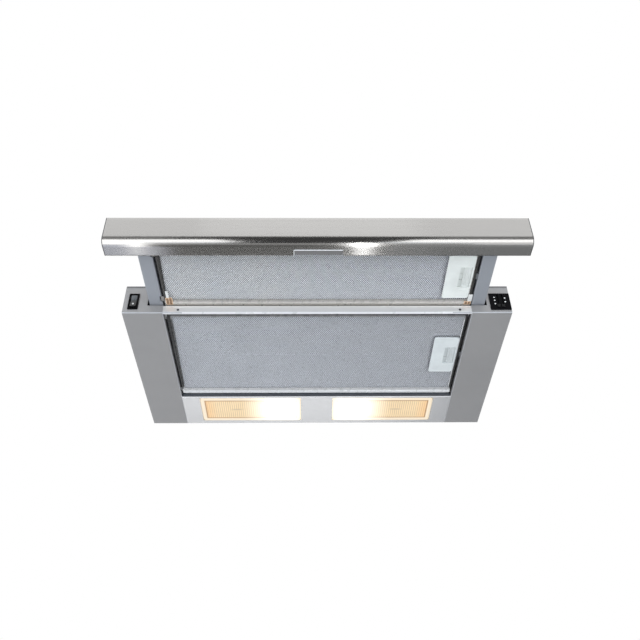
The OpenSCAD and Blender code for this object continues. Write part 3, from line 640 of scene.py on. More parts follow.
class HOOD_OT_arms(HoodPart, bpy.types.Operator):
    """Drawer arms: rolled box tubes with the slots for the filter's tongues and bolt"""
    bl_idname = "hood.arms"
    bl_label = "Drawer arms"

    def make(self, sizes, colours):
        low, high = span("drawer_filter_frame")
        tongues = [(low[1] + 12, 6), (high[1] - 12, 6)]
        bolt = [((low[1] + high[1]) / 2, 6.8)]
        wall = 1.2
        for node, side, slots in (("drawer_arm_left", -1, tongues), ("drawer_arm_right", 1, bolt)):
            a, b = span(node)
            near, far = sorted((abs(a[0]), abs(b[0])))
            section = round_rect(near, far, a[2], b[2], 1.6, 6, 14)
            within = round_rect(near + wall, far - wall, a[2] + wall, b[2] - wall, 0.5, 6, 14)
            y = np.unique(np.round(np.concatenate([
                np.linspace(a[1], b[1], 16), *[[c - h, c + h] for c, h in slots]]), 3))
            outer, inner = (np.stack([placed(p * (side, 1), v, 1) for v in y])
                            for p in (section, within))
            # the slots cut the tube's inner wall near its foot
            s, height = ((section + np.roll(section, -1, 0)) / 2).T
            if side < 0:
                open_there = (s < near + 3) & (height < a[2] + 6)
            else:
                open_there = (s < near + 0.6) & (height < a[2] + 4.6) & (height > a[2] + 1)
            mid_y = (y[1:] + y[:-1]) / 2
            in_slot = np.any([abs(mid_y - c) < h for c, h in slots], axis=0)
            keep = ~(in_slot[:, None] & open_there[None, :])
            piece(f"{node}_tube", used(sheet_of(outer, inner, keep, close_v=True)),
                  finish("paint_arm"), "drawer", [node])


class HOOD_OT_crossbar(HoodPart, bpy.types.Operator):
    """Front crossbar: folded sheet with a bead below its upper edge, and its two screws"""
    bl_idname = "hood.crossbar"
    bl_label = "Front crossbar"

    # depth and height of the sunk bead in the bar's face
    BEAD = [(0, 12.6), (0.02, 12.3), (0.3, 12.0), (0.36, 11.7), (0.3, 11.4), (0.02, 11.1),
            (0, 10.8)]

    def make(self, sizes, colours):
        a, b = span("front_crossbar")
        upper, lower, sheet = 1.1, 1.5, 1.0  # radii of the two folds, and the sheet's thickness
        path = np.concatenate([
            line((b[1], b[2]), (upper + 0.1, b[2]), 4),
            arc(upper, b[2] - upper, upper, 90, 180, 7),
            self.BEAD,
            line((0, 10.4), (0, 1.8), 8),
            arc(lower, lower, lower, 180, 270, 9),
            line((1.7, 0), (3.0, 0), 3),
            [(3.0, 0.0)],
        ])
        x = np.linspace(a[0], b[0], 25)
        outer = np.stack([placed(path, v, 0) for v in x])
        inner = np.stack([placed(offset_path(path, sheet), v, 0) for v in x])
        piece("crossbar_skin", sheet_of(outer, inner), finish("crossbar"), "frame",
              ["front_crossbar"])
        # pale bead along the lower fold, a painted highlight
        fold = np.concatenate([arc(lower, lower, 1.72, 185, 275, 8),
                               [(3.2, -0.15), (3.3, 0.5), (0.5, 1.7)]])
        piece("crossbar_fold", extrusion(fold, np.linspace(a[0] + 0.2, b[0] - 0.2, 9), 0),
              finish("panel_edge"), "frame")
        heads = [screw_head((v, 0.0, 6.0), 2.0, 0.8, 1, -1) for v in (-214, 219)]
        piece("crossbar_screw_heads", merged(*heads), finish("motor"), "frame",
              ["crossbar_screws"])


class HOOD_OT_filters(HoodPart, bpy.types.Operator):
    """Both grease filters: rounded rims, the fine expanded foil and the foil behind it"""
    bl_idname = "hood.filters"
    bl_label = "Grease filters"

    def rim(self, low, high, left, right, end, tones):
        """Channel round a filter: its profile runs from the outer edge to a bead beside the foil
        and back inside, and is carried round the outline, narrower at the sides. Each run (left,
        right, front, rear) has four tone values, painted reflection and shade: lip, outer half,
        raised inner half, inner edge."""
        height = high[2] - low[2]
        profile = np.concatenate([
            [(0, height), (0, 2.6)], arc(1.4, 1.4, 1.4, 180, 268, 8),
            [(2.6, 0), (3.1, 0), (4.0, 0), (7.0, 0)],
            arc(7.0, 0.7, 0.7, 280, 345, 4),
            [(7.9, 1.15), (8.4, 1.5), (9.2, 1.5), (11.5, 1.32), (13.3, 1.15), (13.9, 1.3)],
            [(13.9, 2.2), (8.2, 2.4), (6.6, 1.0), (4, 0.9), (2.0, 1.1), (1.1, 2.6), (1.0, height)],
        ])
        full, corner = 14, 3.0  # the profile's full width and the outline's corner radius
        zone = np.searchsorted([2.8, 7.4, 10.0], profile[:, 0])
        outline = round_rect(low[0], high[0], low[1], high[1], corner, 5, 24)
        (cx, cy, _), (hx, hy, _) = (low + high) / 2, (high - low) / 2
        x, y = outline.T
        beside = (y > low[1] + corner) & (y < high[1] - corner)
        run = np.where(beside, x > 0, 2 + (y > cy)).astype(int)
        along = (y - low[1]) / (high[1] - low[1])
        near, far = (ends[0] * (1 - along) + ends[1] * along for ends in (left, right))
        wide = np.where(x < cx, near, far)
        rows, shades = [], []
        for share, rise, band in zip(profile[:, 0] / full, profile[:, 1], zone):
            drawn_x = cx + (x - cx) * (hx - share * wide) / hx
            drawn_y = cy + (y - cy) * (hy - share * end) / hy
            rows.append(np.stack([drawn_x, drawn_y, np.full_like(x, low[2] + rise)], -1))
            shades.append(np.array(tones)[run, band])
        return doughnut(np.stack(rows)), np.concatenate(shades)

    def sag(self, x, y, low, high, plate):
        """Height of the foil: it bulges down in the middle of the filter as a product of two
        powers, and stands back behind the latch plate, near which it changes over."""
        level, down, back, change = 2.75, 1.2, 1.8, 5
        half_x, half_y = HOOD_OT_latches.HALF_X, HOOD_OT_latches.HALF_Y
        s = (x - (low[0] + high[0]) / 2) / ((high[0] - low[0]) / 2)
        t = (y - (low[1] + high[1]) / 2) / ((high[1] - low[1]) / 2)
        bulge = 0.9 * np.clip(1 - s ** 4, 0, 1) * np.clip(1 - t ** 2, 0, 1)
        near = np.clip(1 - np.maximum(abs(x - plate[0]) - half_x, 0) / change, 0, 1)
        near = near * np.clip(1 - np.maximum(abs(y - plate[1]) - half_y, 0) / change, 0, 1)
        return low[2] + level - down * bulge * (1 - near) + back * near

    def net(self, low, high, box, plate, wide, deep, strand):
        """Expanded foil: rows of strands that zigzag by a quarter of a diamond's depth, each a
        three-sided bar, with neighbouring rows mirrored so that their corners meet."""
        rows = int(round((box[3] - box[2]) / (deep / 2)))
        steps = int(round((box[1] - box[0]) / (wide / 2)))
        r, k, side = np.meshgrid(np.arange(rows), np.arange(steps + 1), np.arange(3), indexing="ij")
        x = box[0] + (box[1] - box[0]) * k / steps
        pitch = (box[3] - box[2]) / rows
        y = box[2] + pitch * (r + 0.5) + pitch / 2 * (-1.0) ** (r + k)
        z = self.sag(x, y, low, high, plate)
        dy = np.array([-0.5, 0.12, 0.5])[side] * strand
        dz = np.array([0.28, -0.26, 0.05])[side]
        points = np.stack([x, y + dy, z + dz], -1)
        first = (np.arange(rows) * (steps + 1) * 3)[:, None, None]
        one = cells(steps + 1, 3, close_v=True).reshape(-1, 4)
        faces = (one[None] + first).reshape(-1, 4).tolist()
        ends = np.array([[2, 1, 0], [steps * 3, steps * 3 + 1, steps * 3 + 2]])
        faces += (ends[None] + first).reshape(-1, 3).tolist()
        return points.reshape(-1, 3), faces

    def foil(self, low, high, box, plate, wide, deep):
        """Foil behind the net: a thin sheet whose height is a wave, the product of two sines that
        are two diamonds long."""
        nx, ny = int((box[1] - box[0]) / wide * 2), int((box[3] - box[2]) / deep * 2)
        x, y = np.meshgrid(np.linspace(box[0], box[1], nx), np.linspace(box[2], box[3], ny),
                           indexing="ij")
        behind, thick = 1.0, 0.25
        wave = 0.3 * np.sin(np.pi * x / wide) * np.sin(np.pi * y / deep)
        z = self.sag(x, y, low, high, plate) + behind + wave
        sheet = np.stack([x, y, z], -1)
        return sheet_of(sheet, sheet + (0, 0, thick))

    def foil_finish(self, name, colour, spots, clouds, far, gloss, bump):
        """Finish of one layer of foil: spots between two shades of its colour, giving way towards
        the right to one even, darker tone, painted shade. spots gives their scale and detail, bump
        its scale, strength and distance."""
        m = Nodes(name)
        shades = (tint(colour, k) for k in clouds)
        tone = m.mix(m.between(m.noise(spots[0], detail=spots[1]), 0, 1), *shades)
        tone = m.mix(m.between(m.where(0), 0, 1, -0.1, 0.2), tone, tint(colour, far))
        scale, strength, distance = bump
        return m.done(tone, m.between(m.noise(200), *gloss),
                      m.bump(m.noise(scale), strength, distance), Metallic=0.3)

    def grease_filter(self, name, sizes, colours, left, right, end, parts, k, rim_finish, tones):
        """One filter: its rim with the two tongues, the net in a number of parts, and the foil.
        left and right are the rim's widths there at its front and rear, end its width in front
        and behind, and k brightens the foil's colour, painted light on the drawer's foil."""
        wide, deep, strand = sizes.foil_pitch / MM, sizes.foil_step / MM, sizes.strand / MM
        net_finish = self.foil_finish(
            f"{name}_foil", colours.foil, spots=(14, 3), clouds=(1.12 * k, 1.22 * k), far=1.09 * k,
            gloss=(0.26, 0.42), bump=(900, 0.1, 0.0002))
        # the foil behind the net is a darker copy of the foil's colour, painted shade of the deeper
        # layers
        painted_shade_back_finish = self.foil_finish(
            f"{name}_foil_inner", colours.foil, spots=(420, 2), clouds=(0.30 * k, 0.54 * k),
            far=0.36 * k, gloss=(0.35, 0.55), bump=(700, 0.3, 0.0004))
        low, high = span(f"{name}_frame")
        low[0] = -high[0]
        plate = sum(span(name.replace("filter", "latch_plate")))[:2] / 2
        levels = [(low[2] + h, inset) for h, inset in ((0.2, 0.2), (0.4, 0), (1.2, 0), (1.4, 0.2))]
        tongues = [pad(low[0] - 4.6, low[0] + 2, y - 5, y + 5, 0.8, levels)
                   for y in (low[1] + 12, high[1] - 12)]
        channel, shade = self.rim(low, high, left, right, end, tones)
        # a dull tone on the tongues, painted shade where they show through the arm's slot
        tongue_shade = np.full(sum(len(points) for points, _ in tongues), 0.3)
        piece(f"{name}_rim", merged(channel, *tongues), finish(rim_finish), name,
              [f"{name}_frame"], smooth=50, shade=np.concatenate([shade, tongue_shade]))
        box = (low[0] + min(left) - 1, high[0] - min(right) + 1,
               low[1] + end - 2, high[1] - end + 2)
        edges = np.linspace(box[2], box[3], parts + 1)
        for n in range(parts):
            area = (box[0], box[1], edges[n], edges[n + 1])
            piece(f"{name}_net_{n + 1}", self.net(low, high, area, plate, wide, deep, strand),
                  net_finish, name, [f"{name}_mesh"], weld=False)
        piece(f"{name}_foil", self.foil(low, high, box, plate, wide, deep), painted_shade_back_finish, name,
              weld=False, smooth=60)

    def corner_tab(self, side, name, front, out, pale_wide):
        """Folded corner tab at the rear of the drawer filter, its colours painted glints: a pale
        plate, a painted highlight, ahead of a copper foot that carries two brown bars, painted
        reflections of the lamps' warm light, all of it moved outwards by out."""
        low = span("drawer_filter_frame")[0]
        for kind, x0, x1, y0, y1, drop, key in (
            ("pale", 226.4, 226.4 + pale_wide, front - 16, front - 1, 0.35, "print"),
            ("foot", 221.8, 232.2, front - 1, -0.8, 0.5, "painted_copper_reflection"),
            ("inner", 223.0, 226.4, front, -2, 0.9, "painted_brown_reflection"),
            ("outer", 227.6, 231.0, front, -2, 0.9, "painted_brown_reflection"),
        ):
            outline = round_rect(*sorted((side * (x0 + out), side * (x1 + out))), y0, y1, 0.8, 4)
            tab = rings(np.stack([placed(outline, h, 2) for h in (low[2] + 0.3, low[2] - drop)]))
            piece(f"corner_tab_{kind}_{name}", tab, finish(key), "drawer_filter")

    def make(self, sizes, colours):
        # tone values for the rims' runs are painted reflection and shade: near-black front and
        # sides, a white rear band as a painted highlight, pale inner edges
        self.grease_filter(
            "fixed_filter", sizes, colours, left=(8.5, 4.2), right=(5.2, 5.2), end=14.0, parts=2,
            k=1.0, rim_finish="rim_runs",
            tones=((0.02, 0.055, 0.06, 0.10), (0.015, 0.02, 0.022, 0.9), (0.75, 0.03, 0.05, 0.3),
                   (1.0, 1.0, 0.6, 0.6)))
        # the drawer's foil is brightened by k, painted light, and its rim takes a warmer tint with
        # its own painted reflection and shade
        self.grease_filter(
            "drawer_filter", sizes, colours, left=(7.0, 4.5), right=(6.5, 4.5), end=9.0, parts=1,
            k=1.18, rim_finish="rim_runs_warm",
            tones=((0.03, 0.09, 0.1, 0.03), (0.03, 0.06, 0.07, 0.7), (0.1, 0.1, 0.1, 0.1),
                   (0.68, 0.66, 0.5, 0.42)))
        # lip of the drawer's cross rail, which closes the gap behind its filter
        low, high = span("drawer_filter_frame")
        rail = span("drawer_cross_rail")[0]
        x = np.linspace(-high[0], high[0], 25)
        path = np.concatenate([
            line((rail[1] + 0.4, low[2] + 0.5), (high[1] + 0.6, low[2] + 0.5), 8),
            arc(high[1] + 0.6, low[2] + 0.8, 0.3, 270, 180, 4), [(high[1] + 0.3, low[2] + 1.6)],
        ])
        lip = np.stack([placed(path, v, 0) for v in x])
        back = np.stack([placed(offset_path(path, -0.6), v, 0) for v in x])
        piece("drawer_seal", sheet_of(lip, back), finish("seal"), "drawer")
        self.corner_tab(-1, "left", -15, 0, 4.2)
        self.corner_tab(1, "right", -7, 3.6, 6.4)


class HOOD_OT_latches(HoodPart, bpy.types.Operator):
    """Latch plates of both filters, and their sliding latches"""
    bl_idname = "hood.latches"
    bl_label = "Filter latches"

    HALF_X, HALF_Y, CORNER = 20, 45, 3.5  # the plate's half sizes and its corners' radius
    OPEN_LEFT, OPEN_RIGHT, OPEN_HALF_Y = 209, 226.5, 21  # the opening that the slide shows in

    def cover(self, kind, body, pale):
        """Plate with an opening: its height is a rounded edge, a field inside a groove, ribs for
        the thumb beside the opening, an arched lip beyond it and a shallow frame round it."""
        a, b = span(f"{kind}_latch_plate")
        half_x, half_y, radius = self.HALF_X, self.HALF_Y, self.CORNER
        left, right, reach = self.OPEN_LEFT, self.OPEN_RIGHT, self.OPEN_HALF_Y
        x = np.unique(np.round(np.concatenate([np.linspace(a[0], b[0], 41), [left, right]]), 3))
        y = np.unique(np.round(np.concatenate([np.linspace(-half_y, half_y, 91),
                                               [-reach, reach]]), 3))
        gx, gy = np.meshgrid(x, y, indexing="ij")
        cx, cy = (a[0] + b[0]) / 2, (a[1] + b[1]) / 2
        corner = np.maximum(abs(gy) - (half_y - radius), 0)
        cut = radius - np.sqrt(np.maximum(radius ** 2 - corner ** 2, 0))
        px = cx + (gx - cx) * ((half_x - cut) / half_x)
        edge = np.minimum(half_x - abs(gx - cx), half_y - abs(gy))
        rise = np.clip(edge / 0.9, 0, 1)
        field = 0.5 * np.clip((edge - 2.2) / 0.5, 0, 1)
        ribs = 0.22 * (np.sin((gx - 197) * np.pi) ** 2) * ((gx > 197) & (gx < 206)) * (abs(gy) < 17)
        beside = gx - 217.7
        bow = (gy - 27 + 0.045 * beside ** 2) / 1.3
        arch = 0.495 * np.exp(-(bow ** 2)) * (abs(beside) < 9)
        frame_lip = 0.3 * ((gx > 207.2) & (gx < 228) & (abs(gy) < 23))
        z = a[2] + 0.55 * (1 - rise) ** 2 + field - ribs - arch - np.minimum(frame_lip, field)
        outer = np.stack([px, gy + cy, z], -1)
        inner = np.stack([px, gy + cy, np.full_like(z, b[2])], -1)
        mx, my = (x[1:] + x[:-1]) / 2, (y[1:] + y[:-1]) / 2
        keep = ~(((mx > left) & (mx < right))[:, None] & (abs(my) < reach)[None, :])
        piece(f"{kind}_latch_cover", used(sheet_of(outer, inner, keep)), finish("latch" + pale),
              body, [f"{kind}_latch_plate"], smooth=30)

    def slide(self, kind, body, pale):
        """Sliding latch: a dished slab with ridges across it and a lip, the shank that carries it,
        two strips that close the opening's ends, and the bolt."""
        a, b = span(f"{kind}_latch_plate")
        mid = (a[1] + b[1]) / 2
        deep, half_y = 11.5, 20.5
        x0, top = self.OPEN_RIGHT - deep - 0.4, a[2] + 2.6
        gx, gy = np.meshgrid(np.linspace(x0, x0 + deep, 47), np.linspace(-half_y, half_y, 62),
                             indexing="ij")
        u = (gx - x0) / deep
        bowl = np.sin(np.pi * np.clip(u, 0, 1)) ** 0.5
        dish = 1.25 * bowl * np.clip((half_y - abs(gy)) / 2.5, 0, 1)
        ridge = 0.6 * np.sin(u * np.pi * 4) ** 2 * np.clip((18 - abs(gy)) / 1.5, 0, 1)
        lip = 0.9 * np.exp(-((u - 0.06) / 0.07) ** 2)
        z = a[2] + 1.0 + dish - ridge - lip
        slab = sheet_of(*(np.stack([gx, gy + mid, h], -1) for h in (z, np.full_like(z, top))))
        levels = [(top + h, inset) for h, inset in ((0.06, 0.2), (0.26, 0), (2.2, 0), (2.4, 0.2))]
        shank, bolt = (pad(x1, x2, mid - 6, mid + 6, 1.2, levels)
                       for x1, x2 in ((197, 225), (224, span(f"{kind}_latch")[1][0])))
        floor = [pad(207.6, 227.4, mid + y0, mid + y1, 0.5, [(top + 0.06, 0), (top + 0.5, 0)])
                 for y0, y1 in ((-22, -6.6), (6.6, 22))]
        # the slide's darker plastic is painted shade of the recess, and the bolt's darker grey
        # painted shadow
        piece(f"{kind}_latch_slide", merged(slab, shank, *floor), finish("latch_slide" + pale),
              body, [f"{kind}_latch"], smooth=30)
        piece(f"{kind}_latch_bolt", bolt, finish("bolt"), body, [f"{kind}_latch"])

    def make(self, sizes, colours):
        # the drawer's pale copies of the plastic are painted light
        for kind, pale in (("fixed", ""), ("drawer", "_pale")):
            self.cover(kind, f"{kind}_filter", pale)
            self.slide(kind, f"{kind}_latch", pale)


class HOOD_OT_lenses(HoodPart, bpy.types.Operator):
    """Ribbed lenses, lit from inside"""
    bl_idname = "hood.lenses"
    bl_label = "Lamp lenses"

    def lit_plastic(self, colour, middle, half, ribs):
        """Clear cream plastic with the lamp behind it, all its colour a painted glow. Its painted
        light falls off from the bulb in X and Y, fine lines of painted shade follow the ribs, the
        step round the field shows as a brown line of painted shade inside a cream border, and the
        outer end glows a deeper orange. Places are in metres."""
        m = Nodes("lens_lit")
        width = 0.163  # of the lens, over which the ribs are spread

        def less(a, b):
            return m.maths("SUBTRACT", a, b)

        def times(a, b):
            return m.maths("MULTIPLY", a, b)

        across = m.maths("ABSOLUTE", m.where(0))
        beside = m.maths("ABSOLUTE", less(across, middle[0]))
        deep = m.maths("ABSOLUTE", less(m.where(1), middle[1]))
        inward = m.maths("MINIMUM", less(half[0], beside), less(half[1], deep))
        field = m.between(inward, 0, 1, 0.0088, 0.0094)
        step = times(m.between(inward, 0, 1, 0.0064, 0.0072), less(1.0, field))
        wave = m.maths("SINE", times(m.where(0), 2 * math.pi / (width / ribs)))
        ribbed = times(m.between(wave, 0, 1, 0.1, 1.0), field)
        warm = m.mix(m.between(m.noise(40), 0, 1), tint(colour, 0.95), tint(colour, 1.05))
        tone = m.mix(ribbed, warm, tint(colour, 0.62))
        orange, cream = (0.80, 0.42, 0.14), (0.80, 0.70, 0.55)
        brown, grey = (0.34, 0.16, 0.05), (0.36, 0.30, 0.22)
        tone = m.mix(m.between(across, 0, 0.7, 0.178, 0.204), tone, orange)
        tone = m.mix(m.between(field, 1, 0, 0, 1), tone, cream)
        tone = m.mix(times(step, 0.95), tone, brown)
        # painted shadow of the lamp's foot behind the plastic, a faint grey shape
        off = m.maths("ABSOLUTE", less(across, 0.143))
        foot = m.maths("MAXIMUM", times(off, 0.16), less(deep, 0.0005))
        tone = m.mix(m.between(foot, 0.55, 0, 0.0006, 0.0022), tone, grey)
        # the bulb's glow: full from 42 to 82 mm beside the middle, gone by 136, faint within 27
        out = m.between(across, 1, 0, 0.082, 0.136)
        back = m.between(across, 0.15, 1, 0.027, 0.042)
        ends = m.between(deep, 1, 0.6, 0.016, 0.036)
        glow = times(times(m.maths("POWER", out, 1.6), back), ends)
        m.link(m.mix(glow, tone, (1.6, 1.5, 1.3)), m.shader.inputs["Emission Color"])
        return m.done(m.mix(m.between(m.noise(120), 0, 1), (0.15, 0.12, 0.08), (0.18, 0.14, 0.1)),
                      m.between(m.noise(90), 0.18, 0.26), m.bump(m.noise(800), 0.03, 0.0002),
                      Emission_Strength=1.0)

    def lens(self, node, side, lit, count):
        """One lens: a face whose height is a rounded edge, a step back to the field and the ribs
        across it, each an arch of a sine, and a ring of walls behind the face."""
        border, step, corner = 7.0, 0.8, 5
        a, b = span(node)
        near, far = sorted((abs(a[0]), abs(b[0])))
        w, d = (far - near) / 2, (b[1] - a[1]) / 2
        field = np.linspace(near + border, far - border, count * 8 + 1)
        rows = np.array([0, 0.5, 3, 5.6, 6.4])
        x = np.concatenate([near + rows, field, far - rows[::-1]])
        y = np.concatenate([
            [-d, -d + 0.5], np.linspace(-d + 1, -d + 5.6, 6), [-d + 6.4, -d + 7, -d + 7.5],
            np.linspace(-d + 9, d - 9, 8),
            [d - 7.5, d - 7, d - 6.4], np.linspace(d - 5.6, d - 1, 6), [d - 0.5, d],
        ])
        gx, gy = np.meshgrid(x, y, indexing="ij")
        cx, cy = (near + far) / 2, (a[1] + b[1]) / 2
        over = np.maximum(abs(gy) - (d - corner), 0)
        narrow = (w - (corner - np.sqrt(np.maximum(corner ** 2 - over ** 2, 0)))) / w
        px = cx + (gx - cx) * narrow
        inward = np.minimum(w - abs(gx - cx), d - abs(gy))
        sunk = step * np.clip((inward - 5.6) / 1.4, 0, 1)
        in_field = np.clip((inward - border) / 0.5, 0, 1)
        pitch = (far - near - 2 * border) / count
        ribs = 0.5 * in_field * abs(np.sin(np.pi * (gx - near - border) / pitch))
        soft = 0.25 * (1 - np.clip(inward / 0.6, 0, 1)) ** 2
        outer = np.stack([side * px, gy + cy, a[2] + sunk - 0.5 * ribs + soft], -1)
        inner = np.stack([side * px, gy + cy, np.full_like(px, a[2] + 2.0)], -1)
        ring = [round_rect(near + i, far - i, a[1] + i, b[1] - i, max(corner - i, 1), 8) * (side, 1)
                for i in (0.05, 0.05, 1.5, 1.5)]
        heights = (a[2] + 1.8, b[2], b[2], a[2] + 1.8)
        walls = doughnut(np.stack([placed(p, h, 2) for p, h in zip(ring, heights)]))
        piece(f"{node}_ribbed", merged(sheet_of(outer, inner), walls), lit,
              node.replace("lamp_", ""), [node], smooth=40, weld=False)

    def make(self, sizes, colours):
        a, b = (corner * MM + DATUM for corner in span("lamp_lens_right"))
        lit = self.lit_plastic(colours.lens, ((a + b) / 2)[:2], ((b - a) / 2)[:2], sizes.lens_ribs)
        self.lens("lamp_lens_left", -1, lit, sizes.lens_ribs)
        self.lens("lamp_lens_right", 1, lit, sizes.lens_ribs)
        m = Nodes("lamp_glass_lit")
        tone = m.mix(m.between(m.noise(60), 0, 1), (1.0, 0.78, 0.5), (1.0, 0.86, 0.62))
        m.link(tone, m.shader.inputs["Emission Color"])
        glass = m.done(tone, m.between(m.noise(60), 0.2, 0.3), Emission_Strength=2.0)
        for node in ("lamp_left", "lamp_right"):
            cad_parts[node].data.materials[0] = glass


class HOOD_OT_controls(HoodPart, bpy.types.Operator):
    """Left rocker switch, and the right panel with its sliders and position marks"""
    bl_idname = "hood.controls"
    bl_label = "Switches"

    def painted_highlight_plastic(self, middle):
        """Rocker's plastic with a painted highlight: grey above the pivot's height, black below it.
        """
        m = Nodes("rocker_painted_highlight")
        grey = m.mix(m.between(m.noise(60), 0, 1), (0.11, 0.118, 0.125), (0.14, 0.15, 0.16))
        height = middle * MM + DATUM[2]
        # the grey upper half is a painted highlight, the lower half black
        upper = m.between(m.where(2), 0, 1, height - 0.001, height + 0.006)
        tone = m.mix(upper, (0.012, 0.012, 0.014), grey)
        return m.done(tone, m.between(m.noise(150), 0.2, 0.3), m.bump(m.noise(1900), 0.05, 0.0003))

    def border(self, name, outside, inside, face):
        """Border between two outlines, from the housing's front out to its own face."""
        foot = -0.05
        rows = zip((outside, outside, inside, inside), (foot, face, face, foot))
        piece(name, doughnut(np.stack([placed(p, d, 1) for p, d in rows])), finish("black"),
              "frame")

    def rocker(self):
        """Rocker: a shallow V seen from the side, tilted about its pin and drawn in towards its
        ends, and the drop-shaped mark on its lower half."""
        a, b = span("rocker_bezel")
        cx, pivot, cz, tilt = (a[0] + b[0]) / 2, 5.0, (a[2] + b[2]) / 2, math.radians(6)
        c, s = math.cos(tilt), math.sin(tilt)
        side = np.concatenate([
            line((-5.6, 0), (-7.15, 11.2), 8), arc(-6.6, 11.4, 0.6, 175, 95, 5),
            line((-6.2, 12.0), (-1, 11), 4), line((-1, 11), (3, 4), 4), line((3, 4), (3, -4), 4),
            line((3, -4), (-1, -11), 4), line((-1, -11), (-6.2, -12.0), 4),
            arc(-6.6, -11.4, 0.6, 265, 185, 5), line((-7.15, -11.2), (-5.6, 0), 8),
        ])
        rows = []
        for x, k in ((-4.6, 0.94), (-4.45, 0.97), (-4.1, 1.0),
                     (4.1, 1.0), (4.45, 0.97), (4.6, 0.94)):
            y, z = (side * k).T
            tilted = np.stack([y * c + z * s, -y * s + z * c], -1)
            rows.append(placed(tilted + (pivot, cz), cx + x, 0))
        pin = turned([(1.2, -5.4), (1.2, 5.4)], (cx, pivot, cz), 0, 16)
        piece("rocker_key", merged(rings(np.stack(rows)), pin), self.painted_highlight_plastic(cz), "rocker",
              ["rocker"])
        t = np.linspace(0, 2 * np.pi, 33)[:-1]
        x, z = 1.6 * np.sin(t) * np.sin(t / 2) ** 1.2, -6.0 + 2.5 * np.cos(t)
        mark = []
        for lift in (0.35, 0.0, -0.12):
            y = -5.6 - 1.55 * abs(z) / 11.2 + lift
            mark.append(np.stack([cx + x, pivot + y * c + z * s, cz - y * s + z * c], -1))
        piece("rocker_mark", rings(np.stack(mark)), finish("print"), "rocker")

    def slider(self, node):
        """Slider: a knob whose front is a wave along its height, and the stem through its track."""
        a, b = span(node)
        cx, z0 = (a[0] + b[0]) / 2, a[2] + 0.4
        v = np.linspace(0, 1, 25)
        wave = 0.3 * np.cos(2 * np.pi * 3 * v) * np.sin(np.pi * v)
        grip = np.stack([-1.1 - 1.5 - wave + 0.7 * np.sin(np.pi * v), z0 - 0.3 + 5.2 * v], -1)
        outline = np.concatenate([grip, [(-1.3, z0 + 5.0), (-1.3, z0 - 0.4)]])
        knob = extrusion(outline, [cx - 2.4, cx - 2.2, cx + 2.2, cx + 2.4], 0)
        stem = pad(cx - 0.9, cx + 0.9, z0, z0 + 4.6, 0.3, [(-1.3, 0), (5.2, 0)], axis=1)
        piece(f"{node}_knob", merged(knob, stem), finish("knob"), node, [node])

    def make(self, sizes, colours):
        a, b = span("rocker_bezel")
        self.border("rocker_trim", *(round_rect(a[0] + i, b[0] - i, a[2] + i, b[2] - i, 0.8, 5)
                                     for i in (-0.15, 0.3)), a[1] - 0.12)
        self.rocker()
        # right panel: its border reaches out below and inwards, and marks stand beside the tracks
        a, b = span("control_bezel")
        front = a[1]
        outside = round_rect(a[0] - 2.4, b[0] + 0.25, a[2] - 1.8, b[2] + 0.1, 0.8, 5)
        inside = round_rect(a[0] + 0.4, b[0] - 0.4, a[2] + 0.4, b[2] - 0.4, 0.8, 5)
        self.border("panel_border", outside, inside, front - 0.05)
        levels, r = [(front + 0.3, 0), (front - 0.06, 0), (front - 0.1, 0.12)], 1.2
        marks = [pad(x - r, x + r, z - r, z + r, r, levels, axis=1)
                 for x, z in ((275, 30.4), (275, 24.2), (275, 17.2), (291.2, 29), (291.2, 21.2))]
        piece("panel_marks", merged(*marks), finish("print"), "frame")
        # dust strips behind the slider tracks
        strips = [pad(x - 1.8, x + 1.8, 9, 37, 0.5, [(0.35, 0), (0.6, 0)], axis=1)
                  for x in (280, 287.2)]
        piece("track_strips", merged(*strips), finish("black"), "frame")
        self.slider("speed_slider")
        self.slider("light_slider")


